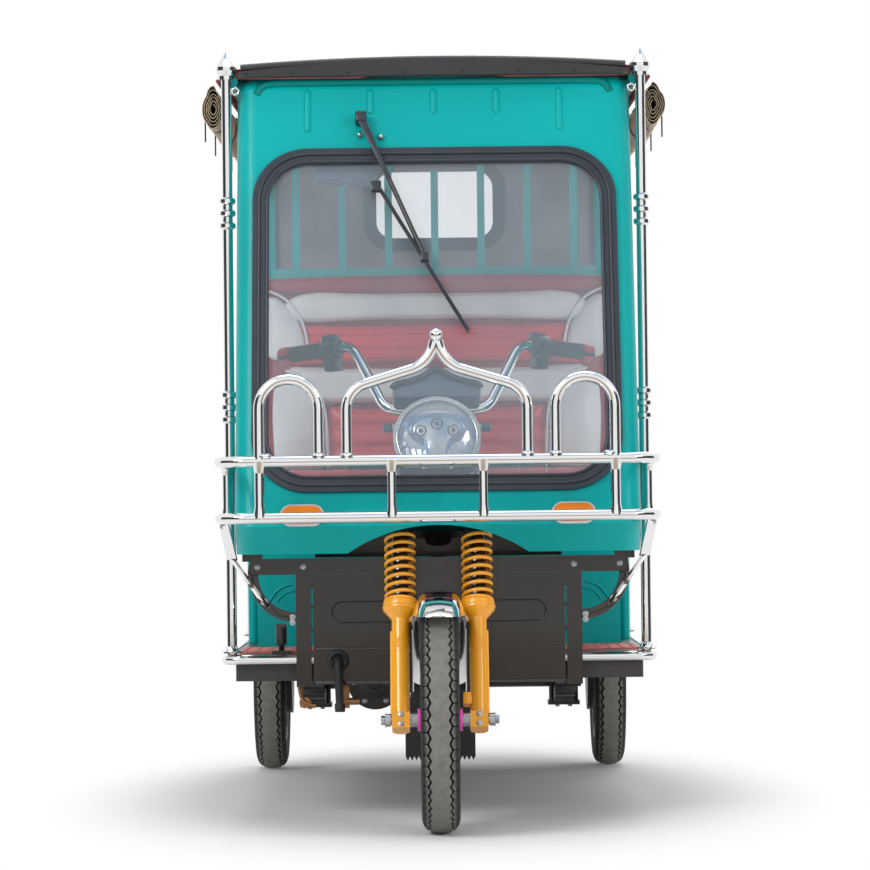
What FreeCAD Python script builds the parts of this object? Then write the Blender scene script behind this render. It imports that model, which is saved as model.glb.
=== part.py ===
"""A three-wheeled battery passenger rickshaw: one steered front wheel, two rear wheels.

Millimetres, +Z up. The vehicle faces -Y, +X is its left side. The origin lies on the ground under
the middle of its box. Sizes named *_back are distances behind the front axle, *_half are distances
from the middle plane and *_height are above the ground.
"""
import FreeCAD
import Part
import Sketcher
import math
import os
import re
from types import SimpleNamespace
from FreeCAD import Placement, Rotation, Vector

doc = FreeCAD.newDocument("Rickshaw")

# Driving sizes, one group after another
SIZES = {
    # whole vehicle
    "overall_length": 2700,
    "overall_width": 1000,
    "rear_track": 854,
    "bumper_reach": 129.5,
    "tail_overhang": 11,
    "rear_overhang": 281,
    "seat_gap": 0.3,
    # wheels
    "tyre_diameter": 457,
    "tyre_width": 78,
    "tyre_wall": 9,
    "tread_half": 30,
    "tread_drop": 12,
    "shoulder_drop": 38,
    "rim_diameter": 305,
    "rim_width": 62,
    "rim_gauge": 3,
    "rim_flange": 10,
    "rim_well_depth": 18,
    "rim_well_half": 17,
    "hub_radius": 30,
    "hub_length": 58,
    "disc_gauge": 5,
    "disc_hole_radius": 17,
    "disc_hole_circle": 88,
    "disc_hole_count": 8,
    "axle_radius": 8,
    "running_clearance": 0.08,
    # steering head and fork
    "rake_angle": 21,
    "fork_offset": 40,
    "leg_spread": 158,
    "leg_radius": 18,
    "leg_rib_radius": 13,
    "leg_rib_offset": 8.5,
    "leg_bottom": -24,
    "leg_top": 214,
    "cup_radius": 35,
    "cup_height": 16,
    "cup_taper": 20,
    "fender_lug_up": 216,
    "fender_lug_radius": 7,
    "fork_tube_radius": 16.5,
    "fork_tube_top": 539,
    "spring_radius": 33,
    "spring_wire": 7.6,
    "spring_turns": 8,
    "lower_yoke_base": 400,
    "yoke_gauge": 16,
    "upper_yoke_base": 521,
    "yoke_boss_radius": 27,
    "stem_radius": 13,
    "stem_top": 549,
    "head_tube_radius": 27,
    "head_tube_bore": 20,
    "head_bearing_gap": 0.5,
    "axle_disc_radius": 23,
    "axle_disc_gauge": 12,
    "axle_spacer_radius": 14,
    "axle_end_half": 106,
    "axle_nut_radius": 13,
    "axle_nut_length": 10,
    "wheel_side_gap": 5,
    # front fender and flap
    "fender_radius": 261,
    "fender_gauge": 2,
    "fender_width": 112,
    "fender_crown": 2.5,
    "fender_crown_half": 27,
    "fender_shoulder_half": 43,
    "fender_shoulder_drop": 18,
    "fender_shoulder_radius": 25,
    "fender_skirt_drop": 50,
    "fender_lip_height": 440,
    "fender_tab_gauge": 4,
    "fender_tab_width": 18,
    "fender_tab_half": 56,
    "fender_tab_drop": 38,
    "cup_clearance": 2,
    "fender_front_angle": 40,
    "fender_rear_angle": 167,
    "flap_width": 146,
    "flap_gauge": 4,
    "flap_bottom": 130,
    "flap_top": 292,
    "flap_tooth": 9,
    "flap_teeth": 16,
    # handlebar and what it carries
    "bar_radius": 11,
    "bar_bend": 45,
    "bar_clamp_height": 862,
    "bar_clamp_lead": 42.9,
    "bar_shoulder_rise": 141,
    "bar_shoulder_sweep": 97,
    "bar_end_rise": 123,
    "bar_end_sweep": 187,
    "bar_clamp_half": 42,
    "bar_knee_half": 105,
    "bar_shoulder_half": 178,
    "bar_end_half": 333,
    "grip_radius": 16,
    "grip_cap_radius": 18,
    "switch_length": 38,
    "switch_radius": 21,
    "lever_gauge": 8,
    "lever_reach": 62,
    "grip_length": 105,
    "grip_flange": 5,
    "riser_foot_half": 22,
    "riser_radius": 9,
    "clamp_radius": 17,
    "clamp_width": 24,
    "headlight_width": 181,
    "headlight_height": 148,
    "headlight_middle": 612,
    "headlight_front": 92,
    "headlight_bezel": 24,
    "headlight_rim": 9,
    "headlight_bowl": 26,
    "headlight_body": 60,
    "headlight_taper": 38,
    "lamp_foot_half": 20,
    "lamp_foot_height": 38,
    "lamp_ear_half": 112,
    "lamp_ear_length": 50,
    "lamp_ear_radius": 8,
    "lens_gauge": 3,
    "cluster_width": 184,
    "cluster_depth": 62,
    "cluster_length": 92,
    "cluster_front": -50,
    # floor and chassis
    "floor_height": 355,
    "floor_gauge": 6,
    "mat_gauge": 4,
    "mat_half": 425,
    "floor_front_back": 350,
    "floor_half": 440,
    "rail_half": 220,
    "rail_width": 40,
    "rail_depth": 50,
    "cross_width": 40,
    "cross_front_back": 354,
    "edge_rail_radius": 10,
    "edge_rail_bend": 30,
    "gooseneck_radius": 21,
    "gooseneck_back": 385,
    "gooseneck_start_up": 480,
    "gooseneck_bend_height": 640,
    "gooseneck_bend": 70,
    # black front frame and leg shield
    "front_frame_back": 290,
    "front_frame_gauge": 35,
    "beam_half": 390,
    "beam_low": 520,
    "beam_high": 554,
    "front_post_inner": 268,
    "front_post_outer": 300,
    "front_post_low": 285,
    "brace_radius": 100,
    "brace_width": 21,
    "brace_gauge": 6,
    "brace_turn": 0,
    "shield_half": 264,
    "shield_low": 293,
    "shield_gauge": 3,
    "grommet_half": 213,
    "grommet_height": 339,
    "grommet_bore": 14.5,
    # front shell, windshield and wiper
    "shell_half": 416,
    "shell_gauge": 4,
    "shell_lug_width": 20,
    "shell_lug_height": 590,
    "shell_low": 565,
    "shell_tuck_back": 110,
    "shell_chin_back": 56,
    "shell_chin_height": 622,
    "shell_top": 1573,
    "shell_rear_back": 340,
    "shell_top_rear_back": 440,
    "windshield_lean": 18.1,
    "shell_edge_radius": 42,
    "shell_top_radius": 40,
    "notch_half": 186,
    "notch_height": 622,
    "bead_half_width": 8.5,
    "bead_spacing": 133,
    "bead_long": 100,
    "bead_short": 60,
    "bead_top_gap": 20,
    "screen_half": 365,
    "screen_low": 87,
    "screen_high": 817,
    "screen_corner": 100,
    "glass_gauge": 5,
    "glass_bite": 9,
    "gasket_outer_lip": 16,
    "gasket_inner_lip": 17,
    "gasket_proud": 8,
    "wiper_pivot_side": -153,
    "wiper_pivot_up": 897,
    "wiper_joint_side": -21,
    "wiper_joint_up": 578,
    "blade_high_side": -121,
    "blade_high_up": 748,
    "blade_low_side": 67,
    "blade_low_up": 416,
    "wiper_arm_radius": 5,
    "blade_gauge": 2.4,
    "blade_depth": 14,
    "signal_side": 277,
    "signal_up": 22,
    "signal_length": 83,
    "signal_width": 39,
    "signal_depth": 14,
    # chrome front guard
    "guard_tube_radius": 11,
    "guard_back": -50,
    "guard_half": 452,
    "guard_upper_height": 753,
    "guard_lower_height": 639,
    "guard_corner": 60,
    "guard_rod_inner": 92,
    "guard_rod_outer": 358,
    "guard_rod_radius": 10,
    "guard_cup_radius": 14,
    "guard_cup_height": 12,
    "hoop_inner": 238,
    "hoop_outer": 358,
    "hoop_top": 929,
    "arch_half": 182,
    "arch_shoulder": 896,
    "arch_neck_half": 16.5,
    "arch_neck_height": 946,
    "arch_apex": 992,
    "arch_tip_half": 3.4,
    "arch_ball": 13,
    "arch_shoulder_bend": 54,
    "arch_neck_bend": 66,
    "guard_brace_back": 100,
    "guard_brace_width": 22,
    "guard_brace_gauge": 5,
    "guard_brace_knee_half": 426,
    "guard_brace_knee_back": 170,
    "guard_brace_knee_height": 556,
    "guard_stay_back": 285,
    # side posts, cabin frame and roof
    "post_half": 438,
    "post_radius": 11,
    "post_top": 1575,
    "post_bead_radius": 17,
    "post_bead_height": 16,
    "post_bead_high": 1310,
    "post_bead_low": 900,
    "post_bead_pitch": 26,
    "finial_radius": 22,
    "finial_height": 50,
    "cabin_tube_radius": 12.5,
    "cabin_post_radius": 11.5,
    "rail_top_front": 1565,
    "rail_top_rear": 1624,
    "roof_front_back": 374,
    "roof_half": 456,
    "roof_gauge": 12,
    "roof_rise_front": 18,
    "roof_rise_middle": 62,
    "roof_rise_rear": 42,
    "band_front_back": 332,
    "band_half": 412,
    "band_end_gauge": 9,
    "band_middle_gauge": 31,
    "curtain_radius": 30,
    "curtain_front_back": 430,
    "curtain_gap": 24,
    "curtain_drop": 14.4,
    "grab_rail_height": 930,
    "header_gap": 0.5,
    "bow_gap": 0.5,
    "bow_drop": 1.2,
    "bow_radius": 10,
    # partition and seats
    "grid_low": 1203,
    "grid_bar_width": 17,
    "grid_bar_gauge": 8,
    "grid_pitch": 106.7,
    "bench_half": 400,
    "wheel_side_room": 59,
    "rear_bench_depth": 501,
    "front_bench_share": 0.17668,
    "middle_post_share": 0.37102,
    "middle_bench_share": 0.58052,
    "battery_room": 120,
    "battery_slack": 390,
    "bench_top": 650,
    "panel_gauge": 3,
    "partition_gauge": 10,
    "seat_height": 745,
    "cushion_half": 396,
    "backrest_gauge": 74,
    "backrest_top": 1190,
    "backrest_half": 396,
    "rear_wall_gauge": 12,
    "rear_wall_half": 440,
    "battery_width": 700,
    "battery_height": 235,
    # rear window
    "window_half": 170,
    "window_low": 1351,
    "window_high": 1560,
    "window_corner": 60,
    # rear running gear
    "mudguard_radius": 263,
    "mudguard_gauge": 2,
    "mudguard_spread": 28,
    "mudguard_lip": 16,
    "mudguard_front_angle": 12,
    "mudguard_rear_angle": 150,
    "arch_radius": 285,
    "quarter_gauge": 4,
    "quarter_top": 900,
    "quarter_low": 351,
    "quarter_sweep": 160,
    "axle_tube_radius": 29,
    "gear_case_radius": 66,
    "gear_case_length": 96,
    "gear_case_side": -160,
    "gear_neck": 85,
    "motor_radius": 65,
    "motor_length": 210,
    "motor_side": -160,
    "brake_plate_radius": 88,
    "brake_plate_gauge": 14,
    "leaf_width": 50,
    "leaf_gauge": 7,
    "leaf_count": 5,
    "spring_inset": 112,
    "axle_tube_inset": 67,
    "leaf_span": 560,
    "leaf_sag": 52,
    "leaf_eye_radius": 11,
    "bolt_radius": 5,
    "hanger_gauge": 8,
    # rear end
    "tow_eye_half": 24,
    "tow_eye_gauge": 12,
    "tow_eye_reach": 34,
    "tow_eye_bore": 11,
    "bumper_radius": 14,
    "bumper_height": 420,
    "bumper_half": 400,
    "lamp_side": 380,
    "lamp_low": 560,
    "lamp_width": 70,
    "lamp_height": 110,
    "lamp_depth": 28,
    "lever_side": -335,
    "lever_rod_radius": 6,
    "lever_lean": 26,
    "lever_shank": 28,
    "lever_reach_up": 60,
    "pedal_side": -150,
    "pedal_lean": 26,
    "pedal_height": 95,
    "pedal_width": 60,
    "pedal_depth": 50,
    "pedal_gauge": 8,
    "controls_back": 397,
    "controls_plate_half": 20,
    "controls_plate_gauge": 6,
}

# Sizes that follow from the driving ones
LAYOUT = {
    "axle_height": "tyre_diameter/2",
    "front_y": "tyre_diameter/2 - overall_length/2",
    "rear_end_y": "overall_length/2",
    "frame_rear_back": "overall_length - tyre_diameter/2 - bumper_reach",
    "rear_wall_back": "frame_rear_back - tail_overhang",
    "wheel_base": "rear_wall_back - rear_overhang",
    "rear_y": "front_y + wheel_base",
    "rear_post_back": "rear_wall_back - 14",
    "roof_rear_back": "rear_wall_back + 29",
    "cabin_run": "rear_wall_back - floor_front_back",
    "bench_front_back": "floor_front_back + front_bench_share*cabin_run",
    "mid_post_back": "floor_front_back + middle_post_share*cabin_run",
    "bench_rear_back": "floor_front_back + middle_bench_share*cabin_run",
    "rear_bench_back": "rear_wall_back - rear_bench_depth",
    "floor_narrow_back": "wheel_base - 350",
    "quarter_front_back": "wheel_base - 490",
    "edge_rail_back": "wheel_base - 510",
    "cross_spring_back": "wheel_base - 300",
    "cross_middle_back": "bench_rear_back - 60",
    "cross_seat_back": "bench_front_back + 40",
    "grab_post_back": "bench_rear_back",
    "bow_back": "floor_narrow_back",
    "battery_back": "bench_front_back + battery_room",
    "battery_length": "bench_rear_back - bench_front_back - battery_slack",
    "rear_bench_half": "rear_track/2 - wheel_side_room",
    "floor_narrow_half": "rear_bench_half",
    "spring_side": "rear_track/2 - spring_inset",
    "axle_tube_half": "rear_track/2 - axle_tube_inset",
    "mudguard_outer": "rear_track/2 + mudguard_spread",
    "bar_clamp_back": "tan(rake_angle)*bar_clamp_height - bar_clamp_lead",
    "bar_shoulder_height": "bar_clamp_height + bar_shoulder_rise",
    "bar_shoulder_back": "bar_clamp_back + bar_shoulder_sweep",
    "bar_end_height": "bar_clamp_height + bar_end_rise",
    "bar_end_back": "bar_clamp_back + bar_end_sweep",
    "tread_crown_radius": "(tread_half^2 + tread_drop^2)/(2*tread_drop)",
    "rail_slope": "(rail_top_rear - rail_top_front)/(rear_post_back - floor_front_back)",
    "header_back": "shell_top_rear_back + cabin_tube_radius + header_gap",
    "cup_top": "leg_top + cup_taper + cup_height",
    "floor_low": "floor_height - mat_gauge - floor_gauge",
    "cabin_half": "floor_half - seat_gap - cabin_tube_radius",
    "plate_top": "floor_height - mat_gauge",
    "rail_low": "floor_low - rail_depth",
}

sheet = doc.addObject("Spreadsheet::Sheet", "Sizes")
for row, (alias, value) in enumerate(SIZES.items(), start=1):
    sheet.set("A%d" % row, alias)
    sheet.set("B%d" % row, str(value))
    sheet.setAlias("B%d" % row, alias)
doc.recompute()

WORD = re.compile(r"[a-z][a-z0-9]*(?:_[a-z0-9]+)+")


def full(text):
    """Put the sheet's or the layout's name before each size in an expression."""
    def prefixed(match):
        name = match.group()
        if name in SIZES:
            return "Sizes." + name
        if name in LAYOUT:
            return "Layout." + name
        raise ValueError("no size is named " + name)
    return WORD.sub(prefixed, text)


def num(text):
    return float(sheet.evalExpression(full(text)))


layout = doc.addObject("App::VarSet", "Layout")
for name, text in LAYOUT.items():
    layout.addProperty("App::PropertyFloat", name, "Layout")
    layout.setExpression(name, full(text))
    doc.recompute()

s = SimpleNamespace()
for alias in SIZES:
    setattr(s, alias, float(sheet.get(alias)))
for name in LAYOUT:
    setattr(s, name, getattr(layout, name))

NODES = []


def node(obj, label):
    obj.Label = label
    NODES.append(obj)
    return obj


def bind(obj, prop, text):
    obj.setExpression(prop, full(text))


def place(obj, x="0", y="0", z="0", tilt=None):
    """Bind an object's place, and its turn about the X axis where it leans."""
    bind(obj, "Placement.Base.x", x)
    bind(obj, "Placement.Base.y", y)
    bind(obj, "Placement.Base.z", z)
    if tilt:
        bind(obj, "Placement.Rotation.Axis.x", "1")
        bind(obj, "Placement.Rotation.Axis.y", "0")
        bind(obj, "Placement.Rotation.Axis.z", "0")
        bind(obj, "Placement.Rotation.Angle", tilt)
    return obj


# Sketches and features


def new_body(label, listed=True):
    body = doc.addObject("PartDesign::Body", label)
    return node(body, label) if listed else body


def origin_plane(body, role):
    return next(item for item in body.Origin.OriginFeatures if item.Role == role)


def arc_centre(start, end, radius, turn):
    """Centre of the short arc from start to end, on its left for a turn of +1."""
    middle = (start + end) * 0.5
    chord = end - start
    rise = math.sqrt(max(radius ** 2 - chord.Length ** 2 / 4, 0))
    left = Vector(-chord.y, chord.x, 0)
    left.normalize()
    return middle + left * rise * turn


def draw_loop(sketch, corners):
    """Draw a closed loop: a corner is (x, y), or (x, y, radius, turn) where an arc leaves it."""
    places = [Vector(num(corner[0]), num(corner[1]), 0) for corner in corners]
    first = sketch.GeometryCount
    ends = []
    for index, corner in enumerate(corners):
        start = places[index]
        end = places[(index + 1) % len(places)]
        if len(corner) == 2:
            sketch.addGeometry(Part.LineSegment(start, end), False)
            ends.append((1, 2))
            continue
        turn = corner[3]
        centre = arc_centre(start, end, num(corner[2]), turn)
        circle = Part.Circle(centre, Vector(0, 0, 1), (start - centre).Length)
        low, high = (start, end) if turn > 0 else (end, start)
        low_angle = math.atan2(low.y - centre.y, low.x - centre.x)
        high_angle = math.atan2(high.y - centre.y, high.x - centre.x)
        if high_angle < low_angle:
            high_angle += 2 * math.pi
        sketch.addGeometry(Part.ArcOfCircle(circle, low_angle, high_angle), False)
        ends.append((1, 2) if turn > 0 else (2, 1))
    for index, corner in enumerate(corners):
        here = first + index
        last = first + (index - 1) % len(corners)
        start = ends[index][0]
        sketch.addConstraint(Sketcher.Constraint(
            "Coincident", last, ends[(index - 1) % len(corners)][1], here, start))
        across = sketch.addConstraint(Sketcher.Constraint(
            "DistanceX", here, start, places[index].x))
        bind(sketch, "Constraints[%d]" % across, corner[0])
        upward = sketch.addConstraint(Sketcher.Constraint(
            "DistanceY", here, start, places[index].y))
        bind(sketch, "Constraints[%d]" % upward, corner[1])
        if len(corner) > 2:
            radius = sketch.addConstraint(Sketcher.Constraint(
                "Radius", here, sketch.Geometry[here].Radius))
            bind(sketch, "Constraints[%d]" % radius, corner[2])


def draw_circle(sketch, x, y, radius):
    centre = Vector(num(x), num(y), 0)
    here = sketch.addGeometry(Part.Circle(centre, Vector(0, 0, 1), num(radius)), False)
    for kind, value, text in (("DistanceX", centre.x, x), ("DistanceY", centre.y, y)):
        item = sketch.addConstraint(Sketcher.Constraint(kind, here, 3, value))
        bind(sketch, "Constraints[%d]" % item, text)
    item = sketch.addConstraint(Sketcher.Constraint("Radius", here, num(radius)))
    bind(sketch, "Constraints[%d]" % item, radius)


def new_sketch(body, role, loops=(), circles=(), offset="0"):
    sketch = body.newObject("Sketcher::SketchObject", body.Name + "_sketch")
    sketch.AttachmentSupport = [(origin_plane(body, role), "")]
    sketch.MapMode = "FlatFace"
    bind(sketch, "AttachmentOffset.Base.z", offset)
    for corners in loops:
        draw_loop(sketch, corners)
    for circle in circles:
        draw_circle(sketch, *circle)
    return sketch


def pad(body, sketch, length, midplane=False, backwards=False):
    feature = body.newObject("PartDesign::Pad", body.Name + "_pad")
    feature.Profile = sketch
    feature.Midplane = midplane
    feature.Reversed = backwards
    bind(feature, "Length", length)
    return feature


def pocket(body, sketch, length=None, midplane=False, backwards=False):
    """Cut along the sketch's normal; with no length, through all both ways."""
    feature = body.newObject("PartDesign::Pocket", body.Name + "_pocket")
    feature.Profile = sketch
    if length is None:
        feature.Type = 1
        feature.Midplane = True
        return feature
    feature.Midplane = midplane
    feature.Reversed = backwards
    bind(feature, "Length", length)
    return feature


def revolve(body, sketch, axis="H_Axis", kind="Revolution"):
    feature = body.newObject("PartDesign::" + kind, body.Name + "_turned")
    feature.Profile = sketch
    feature.ReferenceAxis = (sketch, [axis])
    feature.Angle = 360
    feature.Refine = False
    return feature


def rounded(half_width, low, high, corner, turn=1):
    """Loop of a rounded rectangle that is symmetric about the vertical axis."""
    w = "(%s)" % half_width
    c = "(%s)" % corner
    bottom = "(%s)" % low
    top = "(%s)" % high
    return [
        ("-%s + %s" % (w, c), bottom),
        ("%s - %s" % (w, c), bottom, c, turn),
        (w, "%s + %s" % (bottom, c)),
        (w, "%s - %s" % (top, c), c, turn),
        ("%s - %s" % (w, c), top),
        ("-%s + %s" % (w, c), top, c, turn),
        ("-" + w, "%s - %s" % (top, c)),
        ("-" + w, "%s + %s" % (bottom, c), c, turn),
    ]


def rectangle(low_x, high_x, low_y, high_y):
    return [(low_x, low_y), (high_x, low_y), (high_x, high_y), (low_x, high_y)]


# Primitives and booleans


def block(x, y, z, length, width, height, tilt=None):
    """A box from its low corner; sizes are expressions."""
    obj = doc.addObject("Part::Box", "Block")
    bind(obj, "Length", length)
    bind(obj, "Width", width)
    bind(obj, "Height", height)
    return place(obj, x, y, z, tilt)


def rod(x, y, z, radius, length, axis="z"):
    """A cylinder from the middle of its low end, along x, y or z."""
    obj = doc.addObject("Part::Cylinder", "Rod")
    bind(obj, "Radius", radius)
    bind(obj, "Height", length)
    place(obj, x, y, z)
    turns = {"x": (0, 1, 0, 90), "y": (1, 0, 0, -90), "z": (0, 0, 1, 0)}
    ax, ay, az, angle = turns[axis]
    obj.Placement.Rotation = Rotation(Vector(ax, ay, az), angle)
    return obj


def solid(shape, label="Form", placement=None):
    obj = doc.addObject("Part::Feature", label)
    obj.Shape = shape
    if placement:
        obj.Placement = placement
    return obj


def fuse(items, label="Joined", refine=True):
    obj = doc.addObject("Part::MultiFuse", label)
    obj.Shapes = items
    obj.Refine = refine
    return obj


def cut(base, tool, label="Opened"):
    obj = doc.addObject("Part::Cut", label)
    obj.Base = base
    obj.Tool = tool
    return obj


def both_sides(shape):
    return Part.makeCompound([shape, shape.mirror(Vector(0, 0, 0), Vector(1, 0, 0))])


# Bent tubes


def rounded_run(points, bend):
    """Straight runs joined by tangent arcs, of one radius or one for each corner."""
    corners = [Vector(*point) for point in points]
    bends = bend if isinstance(bend, list) else [bend] * (len(points) - 2)
    edges = []
    start = corners[0]
    for before, corner, after, bend in zip(corners, corners[1:], corners[2:], bends):
        into = (before - corner).normalize()
        out = (after - corner).normalize()
        half_turn = (math.pi - into.getAngle(out)) / 2
        trim = bend * math.tan(half_turn)
        first = corner + into * trim
        last = corner + out * trim
        bisector = (into + out).normalize()
        middle = corner + bisector * (bend / math.cos(half_turn) - bend)
        if (first - start).Length > 0.01:
            edges.append(Part.LineSegment(start, first).toShape())
        edges.append(Part.Arc(first, middle, last).toShape())
        start = last
    edges.append(Part.LineSegment(start, corners[-1]).toShape())
    return Part.Wire(edges)


def tube(points, radius, bend=0):
    path = rounded_run(points, bend) if len(points) > 2 else Part.Wire(
        [Part.LineSegment(Vector(*points[0]), Vector(*points[1])).toShape()])
    first = path.Edges[0]
    start = first.valueAt(first.FirstParameter)
    along = first.tangentAt(first.FirstParameter)
    ring = Part.Wire([Part.Circle(start, along, radius).toShape()])
    return path.makePipeShell([ring], True, False)


def flat_bar(start, end, width, gauge):
    """A straight bar of flat section between two places."""
    bar = Part.makeBox(width, gauge, (end - start).Length + gauge)
    bar.translate(Vector(-width / 2, -gauge / 2, -gauge / 2))
    bar.Placement = Placement(start, Rotation(Vector(0, 0, 1), end - start)).multiply(bar.Placement)
    return bar


def joined(shapes):
    shape = shapes[0].multiFuse(shapes[1:])
    return shape.removeSplitter()


# Frames that lean with the fork and with the windshield
RAKE = "-rake_angle"
LEAN = "-windshield_lean"


def on_fork(obj):
    """Seat an object drawn with its Z along the fork legs and its origin on the front axle."""
    return place(obj, "0", "front_y", "axle_height", RAKE)


FORK = Placement(Vector(0, s.front_y, s.axle_height), Rotation(Vector(1, 0, 0), -s.rake_angle))
SCREEN = Placement(Vector(0, s.front_y + s.shell_chin_back, s.shell_chin_height),
                   Rotation(Vector(1, 0, 0), -s.windshield_lean))


# Wheels


def tyre(label, x, y):
    """A tyre turned about the X axis, open to the rim inside."""
    body = new_body(label)
    seat = "rim_diameter/2"
    shoulder = "tyre_diameter/2 - tread_drop"
    side = "tyre_diameter/2 - shoulder_drop"
    bead_top = "rim_diameter/2 + rim_flange + 2"
    outside = [
        ("-rim_width/2", seat),
        ("-rim_width/2", bead_top),
        ("-tyre_width/2", side, "tyre_width", -1),
        ("-tread_half", shoulder, "tread_crown_radius", -1),
        ("tread_half", shoulder, "tyre_width", -1),
        ("tyre_width/2", side),
        ("rim_width/2", bead_top),
        ("rim_width/2", seat),
        ("rim_width/2 - tyre_wall", seat),
        ("tyre_width/2 - tyre_wall", side),
        ("tread_half - tyre_wall/2", shoulder + " - tyre_wall"),
        ("-tread_half + tyre_wall/2", shoulder + " - tyre_wall"),
        ("-tyre_width/2 + tyre_wall", side),
        ("-rim_width/2 + tyre_wall", seat),
    ]
    revolve(body, new_sketch(body, "XZ_Plane", [outside]))
    return place(body, x, y, "axle_height")


def rim(label, x, y):
    """A drop-centre rim, its disc with round holes and its hub, turned in one."""
    body = new_body(label)
    seat = "rim_diameter/2"
    flange = "rim_diameter/2 + rim_flange"
    under = "rim_diameter/2 - rim_gauge"
    well = "rim_diameter/2 - rim_well_depth"
    bore = "axle_radius + running_clearance"
    half = [
        ("hub_length/2", bore),
        ("hub_length/2", "hub_radius"),
        ("disc_gauge/2", "hub_radius"),
        ("disc_gauge/2", well + " - rim_gauge"),
        ("rim_well_half + rim_gauge", well + " - rim_gauge"),
        ("rim_well_half + 3*rim_gauge", under),
        ("rim_width/2 + rim_gauge", under),
        ("rim_width/2 + rim_gauge", flange),
        ("rim_width/2", flange),
        ("rim_width/2", seat),
        ("rim_well_half + 2*rim_gauge", seat),
        ("rim_well_half", well),
    ]
    other = [("-(%s)" % across, up) for across, up in reversed(half)]
    revolve(body, new_sketch(body, "XZ_Plane", [half + other]))
    hole = new_sketch(body, "YZ_Plane", circles=[("disc_hole_circle", "0", "disc_hole_radius")])
    first = pocket(body, hole)
    ring = body.newObject("PartDesign::PolarPattern", body.Name + "_holes")
    ring.Originals = [first]
    ring.Axis = (origin_plane(body, "X_Axis"), [""])
    ring.Angle = 360
    bind(ring, "Occurrences", "disc_hole_count")
    body.Tip = ring
    return place(body, x, y, "axle_height")


for name, x, y in (("front", "0", "front_y"), ("rear_left", "rear_track/2", "rear_y"),
                   ("rear_right", "-rear_track/2", "rear_y")):
    tyre(name + "_tyre", x, y)
    rim(name + "_rim", x, y)


# Fork, axle, fender and flap


def fork_leg(side):
    """The lower leg, ribbed down its side, with the cup that the spring stands in."""
    x = "%s*leg_spread/2" % side
    rib = "%s*(leg_spread/2 + leg_rib_offset)" % side
    cup_foot = doc.addObject("Part::Cone", "CupFoot")
    bind(cup_foot, "Radius1", "leg_radius")
    bind(cup_foot, "Radius2", "cup_radius")
    bind(cup_foot, "Height", "cup_taper")
    place(cup_foot, x, "0", "leg_top")
    lug_reach = "leg_spread/2 - fender_tab_half - seat_gap"
    lug_x = "fender_tab_half + seat_gap" if side == "1" else "-leg_spread/2"
    parts = [
        rod(x, "0", "leg_bottom", "leg_radius", "leg_top - leg_bottom"),
        rod(rib, "0", "leg_bottom + 14", "leg_rib_radius", "leg_top - leg_bottom - 40"),
        cup_foot,
        rod(x, "0", "leg_top + cup_taper", "cup_radius", "cup_height"),
        rod(lug_x, "0", "fender_lug_up", "fender_lug_radius", lug_reach, "x"),
        block("%s*leg_spread/2 - leg_radius" % side, "-leg_radius - 8", "leg_bottom",
              "2*leg_radius", "leg_radius + 8", "34"),
    ]
    return fuse(parts)


legs = fuse([fork_leg("1"), fork_leg("-1")])
axle_hole = rod("-axle_end_half", "0", "0", "axle_radius + running_clearance",
                "2*axle_end_half", "x")
on_fork(node(cut(legs, axle_hole), "fork_legs"))


def yoke(base):
    parts = [
        block("-leg_spread/2", "-yoke_boss_radius + 5", base,
              "leg_spread", "2*yoke_boss_radius - 10", "yoke_gauge"),
        block("-yoke_boss_radius", "0", base,
              "2*yoke_boss_radius", "fork_offset", "yoke_gauge"),
        rod("0", "fork_offset", base, "yoke_boss_radius", "yoke_gauge"),
    ]
    for side in ("1", "-1"):
        parts.append(rod("%s*leg_spread/2" % side, "0", base, "yoke_boss_radius", "yoke_gauge"))
    return parts


crown_parts = yoke("lower_yoke_base") + yoke("upper_yoke_base")
crown_parts.append(rod("0", "fork_offset", "lower_yoke_base", "stem_radius",
                       "stem_top - lower_yoke_base"))
for side in ("1", "-1"):
    crown_parts.append(rod("%s*leg_spread/2" % side, "0", "cup_top", "fork_tube_radius",
                           "fork_tube_top - cup_top"))
on_fork(node(fuse(crown_parts), "fork_crown_and_tubes"))


def coil(x, base, top, outer, wire, turns):
    """A coil spring of six-sided wire between two seats."""
    height = top - base - wire
    path = Part.makeHelix(height / turns, height, outer - wire / 2)
    ring = Part.makePolygon([
        Vector(outer - wire / 2 + wire / 2 * math.cos(math.radians(60 * corner)), 0,
               wire / 2 * math.sin(math.radians(60 * corner))) for corner in range(7)])
    spring = Part.Wire(path.Edges).makePipeShell([ring], True, True)
    spring.translate(Vector(x, 0, base + wire / 2))
    return spring


springs = [coil(side * s.leg_spread / 2, s.cup_top, s.lower_yoke_base, s.spring_radius,
                s.spring_wire, s.spring_turns) for side in (1, -1)]
node(solid(Part.makeCompound(springs), placement=FORK), "fork_springs")

axle_parts = [rod("-axle_end_half", "0", "0", "axle_radius", "2*axle_end_half", "x")]
spacer_start = "hub_length/2 + wheel_side_gap + axle_disc_gauge"
spacer_length = "leg_spread/2 - leg_radius - (%s)" % spacer_start
nut_start = "leg_spread/2 + leg_rib_offset + leg_rib_radius"
disc_parts = []
for side, turned in (("1", False), ("-1", True)):
    start = spacer_start if not turned else "-(%s + %s)" % (spacer_start, spacer_length)
    axle_parts.append(rod(start, "0", "0", "axle_spacer_radius", spacer_length, "x"))
    start = nut_start if not turned else "-(%s) - axle_nut_length" % nut_start
    axle_parts.append(rod(start, "0", "0", "axle_nut_radius", "axle_nut_length", "x"))
    start = "hub_length/2 + wheel_side_gap"
    start = start if not turned else "-(%s) - axle_disc_gauge" % start
    disc_parts.append(rod(start, "0", "0", "axle_disc_radius", "axle_disc_gauge", "x"))
on_fork(node(fuse(axle_parts), "front_axle"))
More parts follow.
